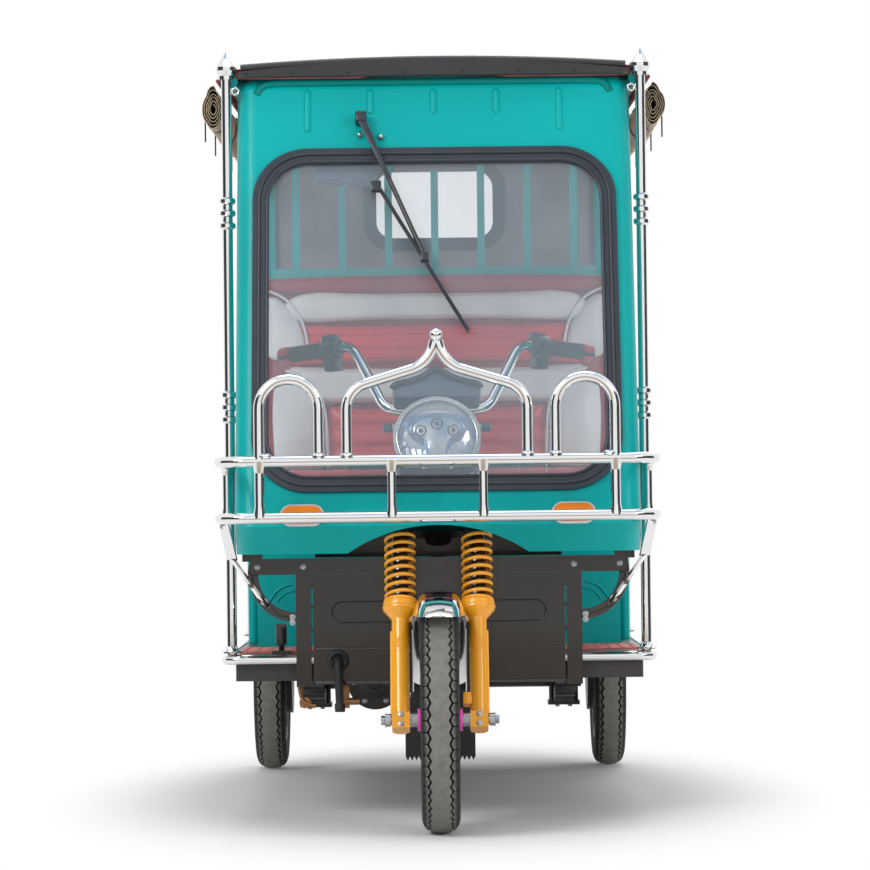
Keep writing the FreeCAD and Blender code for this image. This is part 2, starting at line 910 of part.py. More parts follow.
disc_bore = rod("-axle_end_half", "0", "0", "axle_radius", "2*axle_end_half", "x")
on_fork(node(cut(fuse(disc_parts), disc_bore), "axle_spacer_discs"))

fender = new_body("FenderShell", listed=False)
edge = "fender_radius - fender_crown"
shoulder_edge = "fender_radius - fender_shoulder_drop"
skirt_edge = "fender_radius - fender_skirt_drop"
fender_curve = "(fender_crown_half^2 + fender_crown^2)/(2*fender_crown)"
fender_loop = [
    ("-fender_width/2", skirt_edge),
    ("-fender_shoulder_half", shoulder_edge, "fender_shoulder_radius", -1),
    ("-fender_crown_half", edge, fender_curve, -1),
    ("fender_crown_half", edge, "fender_shoulder_radius", -1),
    ("fender_shoulder_half", shoulder_edge),
    ("fender_width/2", skirt_edge),
    ("fender_width/2 - fender_gauge", skirt_edge),
    ("fender_shoulder_half - 0.9*fender_gauge", shoulder_edge + " - 0.4*fender_gauge",
     "fender_shoulder_radius - fender_gauge", 1),
    ("fender_crown_half - 0.3*fender_gauge", edge + " - fender_gauge",
     fender_curve + " - fender_gauge", 1),
    ("-fender_crown_half + 0.3*fender_gauge", edge + " - fender_gauge",
     "fender_shoulder_radius - fender_gauge", 1),
    ("-fender_shoulder_half + 0.9*fender_gauge", shoulder_edge + " - 0.4*fender_gauge"),
    ("-fender_width/2 + fender_gauge", skirt_edge),
]
fender_turn = revolve(fender, new_sketch(fender, "XZ_Plane", [fender_loop]))
fender_turn.Midplane = True
bind(fender_turn, "Angle", "fender_rear_angle - fender_front_angle")
place(fender, "0", "front_y", "axle_height", "90 - (fender_front_angle + fender_rear_angle)/2")
tabs = []
for side in ("fender_tab_half - fender_tab_gauge", "-fender_tab_half"):
    tab = block(side, "-fender_tab_width/2", "fender_lug_up - fender_tab_width/2",
                "fender_tab_gauge", "fender_tab_width",
                "fender_radius - fender_tab_drop - fender_lug_up + fender_tab_width/2")
    tabs.append(tab)
tab_pair = on_fork(fuse(tabs))
below_lip = block("-fender_width", "front_y - 2*fender_radius", "0", "2*fender_width", "2*fender_radius",
                  "fender_lip_height")
scallops = on_fork(fuse([rod("%s*leg_spread/2" % side, "0", "leg_top", "cup_radius + cup_clearance", "120")
                         for side in ("1", "-1")]))
node(cut(fuse([fender, tab_pair]), fuse([scallops, below_lip])), "front_fender")

flap = new_body("mudflap")
teeth = int(s.flap_teeth)
flap_loop = [("flap_width/2", "flap_top"), ("-flap_width/2", "flap_top")]
for tooth in range(teeth):
    flap_loop.append(("-flap_width/2 + %d*flap_width/flap_teeth" % tooth, "flap_bottom + flap_tooth"))
    flap_loop.append(("-flap_width/2 + (%d + 0.5)*flap_width/flap_teeth" % tooth, "flap_bottom"))
flap_loop.append(("flap_width/2", "flap_bottom + flap_tooth"))
pad(flap, new_sketch(flap, "XZ_Plane", [flap_loop]), "flap_gauge", backwards=True)
place(flap, "0", "front_y + fender_radius*abs(cos(fender_rear_angle)) + seat_gap", "0")


# Handlebar and what it carries


def back(distance):
    """Y of a place that lies this far behind the front axle."""
    return s.front_y + distance


shoulder = (s.bar_shoulder_half, back(s.bar_shoulder_back), s.bar_shoulder_height)
bar_end = (s.bar_end_half, back(s.bar_end_back), s.bar_end_height)
knee = (s.bar_knee_half, back(s.bar_clamp_back), s.bar_clamp_height)
clamp = (s.bar_clamp_half, back(s.bar_clamp_back), s.bar_clamp_height)


def mirrored(point):
    return (-point[0], point[1], point[2])


bar_path = [bar_end, shoulder, knee, mirrored(knee), mirrored(shoulder), mirrored(bar_end)]
bar_shape = tube(bar_path, s.bar_radius, s.bar_bend)
riser_foot = FORK.multVec(Vector(s.bar_clamp_half, s.fork_offset, s.upper_yoke_base + s.yoke_gauge))
risers = []
for side in (1, -1):
    foot = Vector(side * s.riser_foot_half, riser_foot.y, riser_foot.z)
    head = Vector(side * s.riser_foot_half, clamp[1], clamp[2])
    risers.append(tube([foot, head], s.riser_radius))
    risers.append(Part.makeCylinder(s.clamp_radius, s.clamp_width,
                                    head - Vector(s.clamp_width / 2, 0, 0), Vector(1, 0, 0)))
below_yoke = Part.makeBox(300, 300, 300, Vector(-150, -150, s.upper_yoke_base + s.yoke_gauge - 299.9))
below_yoke.Placement = FORK.multiply(below_yoke.Placement)
node(solid(joined([bar_shape] + risers).cut(below_yoke)), "handlebar")


def along_grip(start, length, outer, inner):
    """A sleeve on the straight end of the left bar, measured inward from its tip."""
    tip = Vector(*bar_end)
    inward = (Vector(*shoulder) - tip).normalize()
    foot = tip + inward * start
    sleeve = Part.makeCylinder(outer, length, foot, inward)
    return sleeve.cut(Part.makeCylinder(inner, length, foot, inward))


bore = s.bar_radius + 0.15
grip = along_grip(0, s.grip_length, s.grip_radius, bore)
grip_cap = along_grip(s.grip_length, s.grip_flange, s.grip_cap_radius, bore)
switch = along_grip(s.grip_length + s.grip_flange, s.switch_length, s.switch_radius, bore)
switch_pod = along_grip(s.grip_length + s.grip_flange, s.switch_length - 8, s.switch_radius - 4, bore)
switch_pod.translate(Vector(0, -8, -12))
inward = (Vector(*shoulder) - Vector(*bar_end)).normalize()
lever_root = Vector(*bar_end) + inward * (s.grip_length + s.grip_flange + s.switch_length / 2)
lever_tip = Vector(*bar_end) - inward * 4
reach = Vector(0, -s.lever_reach, -6)
lever = tube([lever_root + Vector(0, -12, 0), lever_root + reach * 0.8 + inward * 4 - inward * 30,
              lever_tip + reach], s.lever_gauge / 2, 20)
blank = Part.makeCylinder(bore, 400, Vector(*bar_end), inward)
control = joined([grip, grip_cap, switch, switch_pod, lever]).cut(blank)
node(solid(both_sides(control)), "grips_and_levers")

lamp = new_body("LampShell", listed=False)
low = "headlight_middle - headlight_height/2"
high = "headlight_middle + headlight_height/2"
front_of_lamp = "headlight_front - fork_offset"


def lamp_face(inset):
    """The lamp's outline, drawn inward by an inset: round, and cut flat below."""
    radius = "(headlight_width/2 - (%s))" % inset
    foot = "sqrt(%s^2 - (headlight_height - headlight_width/2 - (%s))^2)" % (radius, inset)
    base = "%s + (%s)" % (low, inset)
    return [("-" + foot, base), (foot, base, radius, 1), ("0", "%s - (%s)" % (high, inset), radius, 1)]


pad(lamp, new_sketch(lamp, "XZ_Plane", [lamp_face("0")], offset=front_of_lamp), "headlight_bezel",
    backwards=True)
lamp_back = new_sketch(lamp, "XZ_Plane", [lamp_face("0")], offset=front_of_lamp + " - headlight_bezel")
lamp_tail = new_sketch(lamp, "XZ_Plane", [lamp_face("headlight_taper")],
                       offset=front_of_lamp + " - headlight_body")
loft = lamp.newObject("PartDesign::AdditiveLoft", "HeadlightTail")
loft.Profile = lamp_back
loft.Sections = [lamp_tail]
bowl = new_sketch(lamp, "XZ_Plane", [lamp_face("headlight_rim")], offset=front_of_lamp)
pocket(lamp, bowl, "headlight_bowl")
lamp_parts = [lamp, block("-lamp_foot_half", "-lamp_foot_half + 6", "upper_yoke_base + yoke_gauge + seat_gap",
                          "2*lamp_foot_half", "lamp_foot_half", "lamp_foot_height")]
for start in ("lamp_ear_half - lamp_ear_length", "-lamp_ear_half"):
    lamp_parts.append(rod(start, "-lamp_foot_half + 6", "headlight_middle + 20", "lamp_ear_radius",
                          "lamp_ear_length", "x"))
on_fork(node(fuse(lamp_parts), "headlight_housing"))

lens = new_body("headlight_lens")
pad(lens, new_sketch(lens, "XZ_Plane", [lamp_face("headlight_rim + seat_gap")], offset=front_of_lamp),
    "lens_gauge", backwards=True)
on_fork(lens)

cluster = new_body("instrument_cluster")
cluster_low = "headlight_middle + headlight_height/2 + seat_gap"
cluster_side = [
    ("cluster_front", cluster_low),
    ("cluster_front + cluster_depth", cluster_low),
    ("cluster_front + cluster_depth", cluster_low + " + cluster_length*0.6"),
    ("cluster_front + cluster_depth*0.7", cluster_low + " + cluster_length"),
    ("cluster_front + cluster_depth*0.35", cluster_low + " + cluster_length"),
    ("cluster_front", cluster_low + " + cluster_length*0.7"),
]
pad(cluster, new_sketch(cluster, "YZ_Plane", [cluster_side]), "cluster_width", midplane=True)
on_fork(cluster)

# Chassis, floor and front frame

frame_y = "front_y + front_frame_back"
frame_rear_y = "front_y + front_frame_back + front_frame_gauge"
rail_run = "frame_rear_back - cross_front_back"
frame_parts = []
for side in ("rail_half - rail_width/2", "-rail_half - rail_width/2"):
    frame_parts.append(block(side, "front_y + cross_front_back", "rail_low", "rail_width",
                             rail_run, "rail_depth"))
for place_back, half in (
        ("cross_front_back", "(floor_half - 10)"),
        ("cross_seat_back", "(floor_half - 10)"),
        ("cross_middle_back", "(floor_half - 10)"),
        ("cross_spring_back", "(spring_side + leaf_width/2 + 5)"),
        ("frame_rear_back - cross_width", "floor_half")):
    frame_parts.append(block("-" + half, "front_y + " + place_back, "rail_low", "2*" + half,
                             "cross_width", "rail_depth"))
for side in ("front_post_inner + 3", "-front_post_outer + 3"):
    frame_parts.append(block(side, frame_rear_y, "rail_low + 3",
                             "front_post_outer - front_post_inner - 6",
                             "cross_front_back - front_frame_back - front_frame_gauge", "25"))
frame_parts.append(block("-20", frame_rear_y, "beam_low + 4", "40",
                         "gooseneck_back - front_frame_back - front_frame_gauge", "26"))
head_low = "lower_yoke_base + yoke_gauge + head_bearing_gap"
head_height = "upper_yoke_base - head_bearing_gap - (%s)" % head_low
neck_start = FORK.multVec(Vector(0, s.fork_offset, s.gooseneck_start_up))
neck = tube([neck_start, (0, back(s.gooseneck_back), s.gooseneck_bend_height),
             (0, back(s.gooseneck_back), s.rail_low + 4)], s.gooseneck_radius, s.gooseneck_bend)
frame_parts.append(solid(neck, "Gooseneck"))
head_core = on_fork(fuse([rod("0", "fork_offset", head_low, "head_tube_radius", head_height),
                          rod("0", "fork_offset", head_low, "head_tube_radius + 4", "8")]))
head_bore = on_fork(fuse([rod("0", "fork_offset", head_low, "head_tube_bore", head_height),
                          rod("0", "fork_offset", head_low, "head_tube_bore", "8")]))
node(cut(fuse(frame_parts + [head_core]), head_bore), "chassis_frame")

floor = new_body("floor_panel")
floor_corner = "(edge_rail_bend - edge_rail_radius - seat_gap)"
floor_loop = [
    ("-floor_half", "floor_front_back + " + floor_corner, floor_corner, 1),
    ("-floor_half + " + floor_corner, "floor_front_back"),
    ("floor_half - " + floor_corner, "floor_front_back", floor_corner, 1),
    ("floor_half", "floor_front_back + " + floor_corner),
    ("floor_half", "floor_narrow_back"),
    ("floor_narrow_half", "floor_narrow_back"),
    ("floor_narrow_half", "rear_wall_back - seat_gap"),
    ("-floor_narrow_half", "rear_wall_back - seat_gap"),
    ("-floor_narrow_half", "floor_narrow_back"),
    ("-floor_half", "floor_narrow_back"),
]
neck_hole = ("0", "gooseneck_back", "gooseneck_radius + 1")
pad(floor, new_sketch(floor, "XY_Plane", [floor_loop], [neck_hole]), "floor_gauge")
place(floor, "0", "front_y", "floor_low")

mats = [
    block("-mat_half", "front_y + gooseneck_back + 40", "plate_top", "2*mat_half",
          "bench_front_back - gooseneck_back - 40 - seat_gap", "mat_gauge"),
    block("-mat_half", "front_y + bench_rear_back + seat_gap", "plate_top", "2*mat_half",
          "floor_narrow_back - bench_rear_back - seat_gap", "mat_gauge"),
    block("-rear_bench_half", "front_y + floor_narrow_back", "plate_top", "2*rear_bench_half",
          "rear_bench_back - floor_narrow_back - seat_gap", "mat_gauge"),
]
node(fuse(mats), "floor_mat")

edge_y = s.floor_front_back - s.edge_rail_radius - s.seat_gap
edge_x = s.floor_half + s.edge_rail_radius + s.seat_gap
edge_z = s.plate_top - s.edge_rail_radius - 0.6
edge_path = [(edge_x, back(s.edge_rail_back), edge_z), (edge_x, back(edge_y), edge_z),
             (-edge_x, back(edge_y), edge_z), (-edge_x, back(s.edge_rail_back), edge_z)]
node(solid(tube(edge_path, s.edge_rail_radius, s.edge_rail_bend)), "floor_edge_rail")

beam_parts = [block("-beam_half", frame_y, "beam_low", "2*beam_half", "front_frame_gauge",
                    "beam_high - beam_low")]
for side in ("front_post_inner", "-front_post_outer"):
    beam_parts.append(block(side, frame_y, "front_post_low", "front_post_outer - front_post_inner",
                            "front_frame_gauge", "beam_high - front_post_low"))
for side in ("beam_half - shell_lug_width", "-shell_half + shell_gauge + seat_gap"):
    beam_parts.append(block(side, frame_y + " + 5", "beam_high - 6",
                            "shell_half - shell_gauge - seat_gap - beam_half + shell_lug_width",
                            "25", "shell_lug_height - beam_high + 6"))


def quarter_brace(side):
    """A flat bar bent through a quarter circle under the end of the beam."""
    outer = Part.makeCylinder(s.brace_radius, s.brace_gauge, Vector(0, 0, 0), Vector(0, 1, 0), 90)
    inner = Part.makeCylinder(s.brace_radius - s.brace_width, s.brace_gauge, Vector(0, 0, 0),
                              Vector(0, 1, 0), 90)
    bar = outer.cut(inner)
    bar.rotate(Vector(0, 0, 0), Vector(0, 1, 0), s.brace_turn)
    bar.translate(Vector(s.front_post_outer, back(s.front_frame_back), s.beam_low))
    return bar if side > 0 else bar.mirror(Vector(0, 0, 0), Vector(1, 0, 0))


beam_parts += [solid(quarter_brace(1), "Brace"), solid(quarter_brace(-1), "Brace")]
node(fuse(beam_parts), "front_frame")

shield = new_body("leg_shield")
shield_loop = [
    ("-shield_half", "shield_low", ),
    ("shield_half", "shield_low"),
    ("shield_half", "beam_low - 22"),
    ("front_post_inner - seat_gap", "beam_low - 22"),
    ("front_post_inner - seat_gap", "beam_low - seat_gap"),
    ("-front_post_inner + seat_gap", "beam_low - seat_gap"),
    ("-front_post_inner + seat_gap", "beam_low - 22"),
    ("-shield_half", "beam_low - 22"),
]
pad(shield, new_sketch(shield, "XZ_Plane", [shield_loop],
                       [("-grommet_half", "grommet_height", "grommet_bore")]),
    "shield_gauge", backwards=True)
place(shield, "0", frame_y, "0")


# Front shell, screen and wiper


def edges_like(shape, test):
    return ["Edge%d" % (index + 1) for index, edge in enumerate(shape.Edges) if test(edge)]


def faces_like(shape, test):
    return ["Face%d" % (index + 1) for index, face in enumerate(shape.Faces) if test(face)]


def dress(body, kind, names, size_name, size, base):
    feature = body.newObject("PartDesign::" + kind, body.Name + "_" + kind.lower())
    feature.Base = (base, names)
    bind(feature, size_name, size)
    return feature


shell = new_body("ShellBlank", listed=False)
shell_top_back = "shell_chin_back + (shell_top - shell_chin_height)*tan(windshield_lean)"
side_loop = [
    ("shell_tuck_back", "shell_low"),
    ("shell_rear_back", "shell_low"),
    ("shell_top_rear_back", "shell_top"),
    (shell_top_back, "shell_top"),
    ("shell_chin_back", "shell_chin_height"),
]
block_of_shell = pad(shell, new_sketch(shell, "YZ_Plane", [side_loop]), "2*shell_half", midplane=True)
doc.recompute()
top_front = num(shell_top_back)


def is_front_side_edge(edge):
    middle = edge.CenterOfMass
    leans = abs(edge.Vertexes[0].X - edge.Vertexes[-1].X) < 0.1
    forward = middle.y < (top_front + s.shell_chin_back) / 2 + 5
    return leans and abs(abs(middle.x) - s.shell_half) < 0.1 and forward and middle.z > s.shell_low + 5


side_fillet = dress(shell, "Fillet", edges_like(block_of_shell.Shape, is_front_side_edge), "Radius",
                    "shell_edge_radius", block_of_shell)
doc.recompute()


def is_cross_edge(height, distance):
    def test(edge):
        middle = edge.CenterOfMass
        spans = abs(edge.Vertexes[0].X - edge.Vertexes[-1].X) > s.shell_half
        return spans and abs(middle.z - height) < 1 and abs(middle.y - distance) < 1
    return test


top_names = edges_like(side_fillet.Shape, is_cross_edge(s.shell_top, top_front))
top_fillet = dress(shell, "Fillet", top_names, "Radius", "shell_top_radius", side_fillet)
doc.recompute()


def is_open_face(face):
    middle = face.CenterOfMass
    normal = face.normalAt(0, 0)
    return (normal.z < -0.95 and middle.z < s.shell_low + 1) or (
        normal.y > 0.9 and middle.y > s.shell_rear_back - 1)


hollow = shell.newObject("PartDesign::Thickness", "ShellWall")
hollow.Base = (top_fillet, faces_like(top_fillet.Shape, is_open_face))
bind(hollow, "Value", "shell_gauge")
hollow.Reversed = True
doc.recompute()
def on_screen(obj):
    """Seat an object drawn with its Z up the leaning front face and its Y through it."""
    return place(obj, "0", "front_y + shell_chin_back", "shell_chin_height", LEAN)


def grown(half, low, high, corner, by):
    """The rounded outline of an opening, grown all round by a size."""
    return rounded("%s + (%s)" % (half, by), "%s - (%s)" % (low, by), "%s + (%s)" % (high, by),
                   "%s + (%s)" % (corner, by))


SCREEN_HOLE = ("screen_half", "screen_low", "screen_high", "screen_corner")
WINDOW_HOLE = ("window_half", "window_low", "window_high", "window_corner")


def opening_tool(hole, depth, label):
    """A plug of the opening's outline, to cut a wall with."""
    tool = new_body(label, listed=False)
    pad(tool, new_sketch(tool, "XZ_Plane", [grown(*hole, "0")]), depth, midplane=True)
    return tool


def gasket(label, hole, wall):
    """A rubber ring that grips the wall's edge outside and the glass inside."""
    ring = new_body(label)
    outside = new_sketch(ring, "XZ_Plane", [grown(*hole, "gasket_outer_lip")], offset="seat_gap")
    pad(ring, outside, "gasket_proud - seat_gap")
    core = new_sketch(ring, "XZ_Plane", [grown(*hole, "-seat_gap")], offset="gasket_proud")
    pad(ring, core, "2*gasket_proud + %s" % wall, backwards=True)
    inside = new_sketch(ring, "XZ_Plane", [grown(*hole, "gasket_outer_lip/2")],
                        offset="-%s - seat_gap" % wall)
    pad(ring, inside, "gasket_proud - seat_gap", backwards=True)
    pocket(ring, new_sketch(ring, "XZ_Plane", [grown(*hole, "-gasket_inner_lip")]))
    groove = new_sketch(ring, "XZ_Plane", [grown(*hole, "-glass_bite")], offset="0")
    pocket(ring, groove, "glass_gauge")
    return ring


def pane(label, hole):
    glass = new_body(label)
    pad(glass, new_sketch(glass, "XZ_Plane", [grown(*hole, "-glass_bite - seat_gap")]),
        "glass_gauge", backwards=True)
    return glass


screen_plug = on_screen(opening_tool(SCREEN_HOLE, "100", "ScreenPlug"))
notch = new_body("ForkNotch", listed=False)
notch_rise = "(notch_height - shell_low)"
notch_loop = [
    ("-notch_half", "shell_low - 20"),
    ("notch_half", "shell_low - 20"),
    ("notch_half", "shell_low", "(notch_half^2 + %s^2)/(2*%s)" % (notch_rise, notch_rise), 1),
    ("-notch_half", "shell_low"),
]
pad(notch, new_sketch(notch, "XZ_Plane", [notch_loop], offset="-shell_chin_back + 20"),
    "150", backwards=True)
shell_walls = cut(shell, fuse([screen_plug, notch]))
place(shell, "0", "front_y", "0")


def bead(x, length):
    """A raised rib with round ends, pressed into the top of the shell."""
    rib = Part.makeCylinder(s.bead_half_width, length - 2 * s.bead_half_width, Vector(0, 0, 0))
    for end in (0, length - 2 * s.bead_half_width):
        ball = Part.makeSphere(s.bead_half_width, Vector(0, 0, end))
        rib = rib.fuse(ball)
    top_up = (s.shell_top - s.shell_chin_height) / math.cos(math.radians(s.windshield_lean))
    rib.translate(Vector(x, s.bead_half_width * 0.45, top_up - s.bead_top_gap - length))
    inside = Part.makeBox(60, 60, 3000, Vector(x - 30, s.shell_gauge / 2, -1000))
    rib = rib.cut(inside)
    return solid(rib, "Bead", SCREEN)


bead_parts = []
for column in range(-2, 3):
    length = s.bead_long if abs(column) != 1 and column else s.bead_short
    bead_parts.append(bead(column * s.bead_spacing, length))
place(notch, "0", "front_y", "0")
node(fuse([shell_walls] + bead_parts), "front_shell")

on_screen(gasket("windshield_gasket", SCREEN_HOLE, "shell_gauge"))
on_screen(pane("windshield_glass", SCREEN_HOLE))


def signal(side):
    """An oval lamp on the shell, domed by a second smaller oval."""
    lamp_pad = new_body("Signal", listed=False)
    for shrink, deep in (("0", "signal_depth/2"), ("5", "signal_depth")):
        half = "signal_length/2 - " + shrink
        tall = "signal_width/2 - " + shrink
        flat = "(signal_length/2 - signal_width/2)"
        loop = [
            ("%s*signal_side - %s" % (side, flat), "signal_up - (%s)" % tall),
            ("%s*signal_side + %s" % (side, flat), "signal_up - (%s)" % tall, tall, 1),
            ("%s*signal_side + %s" % (side, half), "signal_up", tall, 1),
            ("%s*signal_side + %s" % (side, flat), "signal_up + (%s)" % tall),
            ("%s*signal_side - %s" % (side, flat), "signal_up + (%s)" % tall, tall, 1),
            ("%s*signal_side - (%s)" % (side, half), "signal_up", tall, 1),
        ]
        pad(lamp_pad, new_sketch(lamp_pad, "XZ_Plane", [loop], offset="seat_gap"), deep)
    return lamp_pad


signals = fuse([signal("1"), signal("-1")])
on_screen(node(signals, "turn_signals"))

pivot = Part.makeCylinder(s.wiper_arm_radius * 2.4, 26, Vector(s.wiper_pivot_side, -26.3,
                                                               s.wiper_pivot_up), Vector(0, 1, 0))
joint = Vector(s.wiper_joint_side, -24, s.wiper_joint_up)
arm = tube([Vector(s.wiper_pivot_side, -22, s.wiper_pivot_up), joint], s.wiper_arm_radius)
blade_high = Vector(s.blade_high_side, -17, s.blade_high_up)
blade_low = Vector(s.blade_low_side, -17, s.blade_low_up)
blade = tube([blade_high, blade_low], s.wiper_arm_radius * 0.8)
blade_length = (blade_low - blade_high).Length
squeegee = Part.makeBox(s.blade_gauge, s.blade_depth, blade_length)
squeegee.translate(Vector(-s.blade_gauge / 2, -s.blade_depth - s.seat_gap, 0))
lean_of_blade = math.degrees(math.atan2(blade_low.x - blade_high.x, blade_low.z - blade_high.z))
squeegee.rotate(Vector(0, 0, 0), Vector(0, 1, 0), lean_of_blade)
squeegee.translate(Vector(blade_high.x, 0, blade_high.z))
node(solid(joined([pivot, arm, blade, squeegee]), placement=SCREEN), "wiper")


# Chrome front guard

guard_half = s.guard_half - s.guard_tube_radius
return_back = s.floor_front_back - s.post_radius - s.seat_gap
guard_y = back(s.guard_back)
guard_parts = []
for height in (s.guard_upper_height, s.guard_lower_height):
    bar = [(guard_half, back(return_back), height), (guard_half, guard_y, height),
           (-guard_half, guard_y, height), (-guard_half, back(return_back), height)]
    guard_parts.append(tube(bar, s.guard_tube_radius, s.guard_corner))


def guard_rod(x, y):
    """A thin rod between the two bars, flared where it is welded on."""
    low = s.guard_lower_height
    high = s.guard_upper_height
    parts = [Part.makeCylinder(s.guard_rod_radius, high - low, Vector(x, y, low))]
    reach = s.guard_tube_radius + s.guard_cup_height
    parts.append(Part.makeCone(s.guard_cup_radius, s.guard_rod_radius, reach, Vector(x, y, low)))
    parts.append(Part.makeCone(s.guard_rod_radius, s.guard_cup_radius, reach,
                               Vector(x, y, high - reach)))
    return parts


for side in (1, -1):
    guard_parts += guard_rod(side * s.guard_rod_inner, guard_y)
    guard_parts += guard_rod(side * s.guard_rod_outer, guard_y)
    guard_parts += guard_rod(side * guard_half, back(s.guard_stay_back))
    hoop_top = s.hoop_top - s.guard_tube_radius
    hoop = [(side * s.hoop_inner, guard_y, s.guard_upper_height),
            (side * s.hoop_inner, guard_y, hoop_top), (side * s.hoop_outer, guard_y, hoop_top),
            (side * s.hoop_outer, guard_y, s.guard_upper_height)]
    hoop_bend = (s.hoop_outer - s.hoop_inner) / 2 - 0.1
    guard_parts.append(tube(hoop, s.guard_tube_radius, hoop_bend))
    ogee = [(side * s.arch_half, guard_y, s.guard_upper_height),
            (side * s.arch_half, guard_y, s.arch_shoulder),
            (side * s.arch_neck_half, guard_y, s.arch_neck_height),
            (side * s.arch_tip_half, guard_y, s.arch_apex)]
    guard_parts.append(tube(ogee, s.guard_tube_radius, [s.arch_shoulder_bend, s.arch_neck_bend]))
    turn = math.radians(45)
    brace_reach = s.brace_radius - s.brace_width / 2
    strap_run = [
        Vector(side * guard_half, back(s.guard_brace_back), s.guard_lower_height),
        Vector(side * s.guard_brace_knee_half, back(s.guard_brace_knee_back), s.guard_brace_knee_height),
        Vector(side * (s.front_post_outer + brace_reach * math.cos(turn)),
               back(s.front_frame_back) - s.guard_brace_gauge / 2 - s.seat_gap,
               s.beam_low - brace_reach * math.sin(turn))]
    guard_parts.append(flat_bar(strap_run[0], strap_run[1], s.guard_brace_width, s.guard_brace_gauge))
    guard_parts.append(flat_bar(strap_run[1], strap_run[2], s.guard_brace_width, s.guard_brace_gauge))
guard_parts.append(Part.makeSphere(s.arch_ball, Vector(0, guard_y, s.arch_apex + s.arch_ball)))
guard = joined(guard_parts)
frame_front = Part.makeBox(2000, 100, 400, Vector(-1000, back(s.front_frame_back) - 0.25, 200))
node(solid(guard.cut(frame_front)), "front_guard")


# Posts, cabin frame and roof


def turned_post(side):
    """A round post with turned beads, and a pointed finial on its top."""
    post = new_body("Post", listed=False)
    base = "plate_top + seat_gap"
    loop = [("0", base), ("post_radius", base)]
    for group in ("post_bead_low", "post_bead_high"):
        for count in (2, 1, 0):
            middle = "%s - %d*post_bead_pitch" % (group, count)
            loop.append(("post_radius", middle + " - post_bead_height/2"))
            loop.append(("post_bead_radius", middle + " - post_bead_height/4"))
            loop.append(("post_bead_radius", middle + " + post_bead_height/4"))
            loop.append(("post_radius", middle + " + post_bead_height/2"))
    loop += [
        ("post_radius", "post_top - 8"),
        ("post_bead_radius", "post_top - 8"),
        ("post_bead_radius", "post_top"),
        ("finial_radius", "post_top + finial_height*0.22"),
        ("finial_radius", "post_top + finial_height*0.38"),
        ("finial_radius*0.5", "post_top + finial_height*0.72"),
        ("finial_radius*0.16", "post_top + finial_height"),
        ("0", "post_top + finial_height"),
    ]
    revolve(post, new_sketch(post, "XZ_Plane", [loop]), "V_Axis")
    return place(post, "%s*post_half" % side, "front_y + floor_front_back", "0")


node(fuse([turned_post("1"), turned_post("-1")]), "front_posts")


def rail_height(distance):
    return s.rail_top_front + s.rail_slope * (distance - s.floor_front_back)


def roof_rise(distance):
    """How far the roof's middle stands above its sides at a distance back."""
    if distance < s.mid_post_back:
        share = (distance - s.roof_front_back) / (s.mid_post_back - s.roof_front_back)
        return s.roof_rise_front + share * (s.roof_rise_middle - s.roof_rise_front)
    share = (distance - s.mid_post_back) / (s.roof_rear_back - s.mid_post_back)
    return s.roof_rise_middle + share * (s.roof_rise_rear - s.roof_rise_middle)


def bow(distance):
    """A cross tube bent up to the roof's curve."""
    height = rail_height(distance) + s.cabin_tube_radius - s.bow_radius - s.bow_drop
    ends = [Vector(side * s.cabin_half, back(distance), height) for side in (-1, 1)]
    crown = Vector(0, back(distance), height + roof_rise(distance) - s.bow_gap + s.bow_drop)
    path = Part.Wire([Part.Arc(ends[0], crown, ends[1]).toShape()])
    first = path.Edges[0]
    ring = Part.Wire([Part.Circle(ends[0], first.tangentAt(first.FirstParameter),
                                  s.bow_radius).toShape()])
    return path.makePipeShell([ring], True, False)


cabin_parts = [tube([(-s.cabin_half, back(s.header_back), rail_height(s.header_back)),
                     (s.cabin_half, back(s.header_back), rail_height(s.header_back))],
                    s.cabin_post_radius)]
rail_start = s.floor_front_back + s.post_bead_radius + s.seat_gap
rail_end = s.rear_wall_back - 1
for side in (1, -1):
    x = side * s.cabin_half
    cabin_parts.append(tube([(x, back(rail_start), rail_height(rail_start)),
                             (x, back(rail_end), rail_height(rail_end))], s.cabin_tube_radius))
    for distance, foot in ((s.mid_post_back, s.plate_top), (s.rear_post_back, s.floor_low)):
        cabin_parts.append(Part.makeCylinder(s.cabin_post_radius,
                                             rail_height(distance) - foot - s.seat_gap,
                                             Vector(x, back(distance), foot + s.seat_gap)))
for distance in (s.mid_post_back, s.bow_back, s.rear_post_back):
    cabin_parts.append(bow(distance))
node(solid(joined(cabin_parts)), "cabin_frame")


def roof_section(distance, half, low, rise, gauge):
    """A closed strip, arched across the vehicle."""
    y = back(distance)
    under = Part.Arc(Vector(-half, y, low), Vector(0, y, low + rise), Vector(half, y, low)).toShape()
    over = Part.Arc(Vector(half, y, low + gauge), Vector(0, y, low + rise + gauge),
                    Vector(-half, y, low + gauge)).toShape()
    sides = [Part.LineSegment(Vector(side * half, y, low), Vector(side * half, y, low + gauge)).toShape()
             for side in (1, -1)]
    return Part.Wire([under, sides[0], over, sides[1]])


roof_clear = s.cabin_tube_radius + s.seat_gap
roof_stations = [s.roof_front_back, s.mid_post_back, s.roof_rear_back]
roof_sections = [roof_section(distance, s.roof_half, rail_height(distance) + roof_clear,
                              roof_rise(distance), s.roof_gauge) for distance in roof_stations]
node(solid(Part.makeLoft(roof_sections, True, True)), "roof_skin")

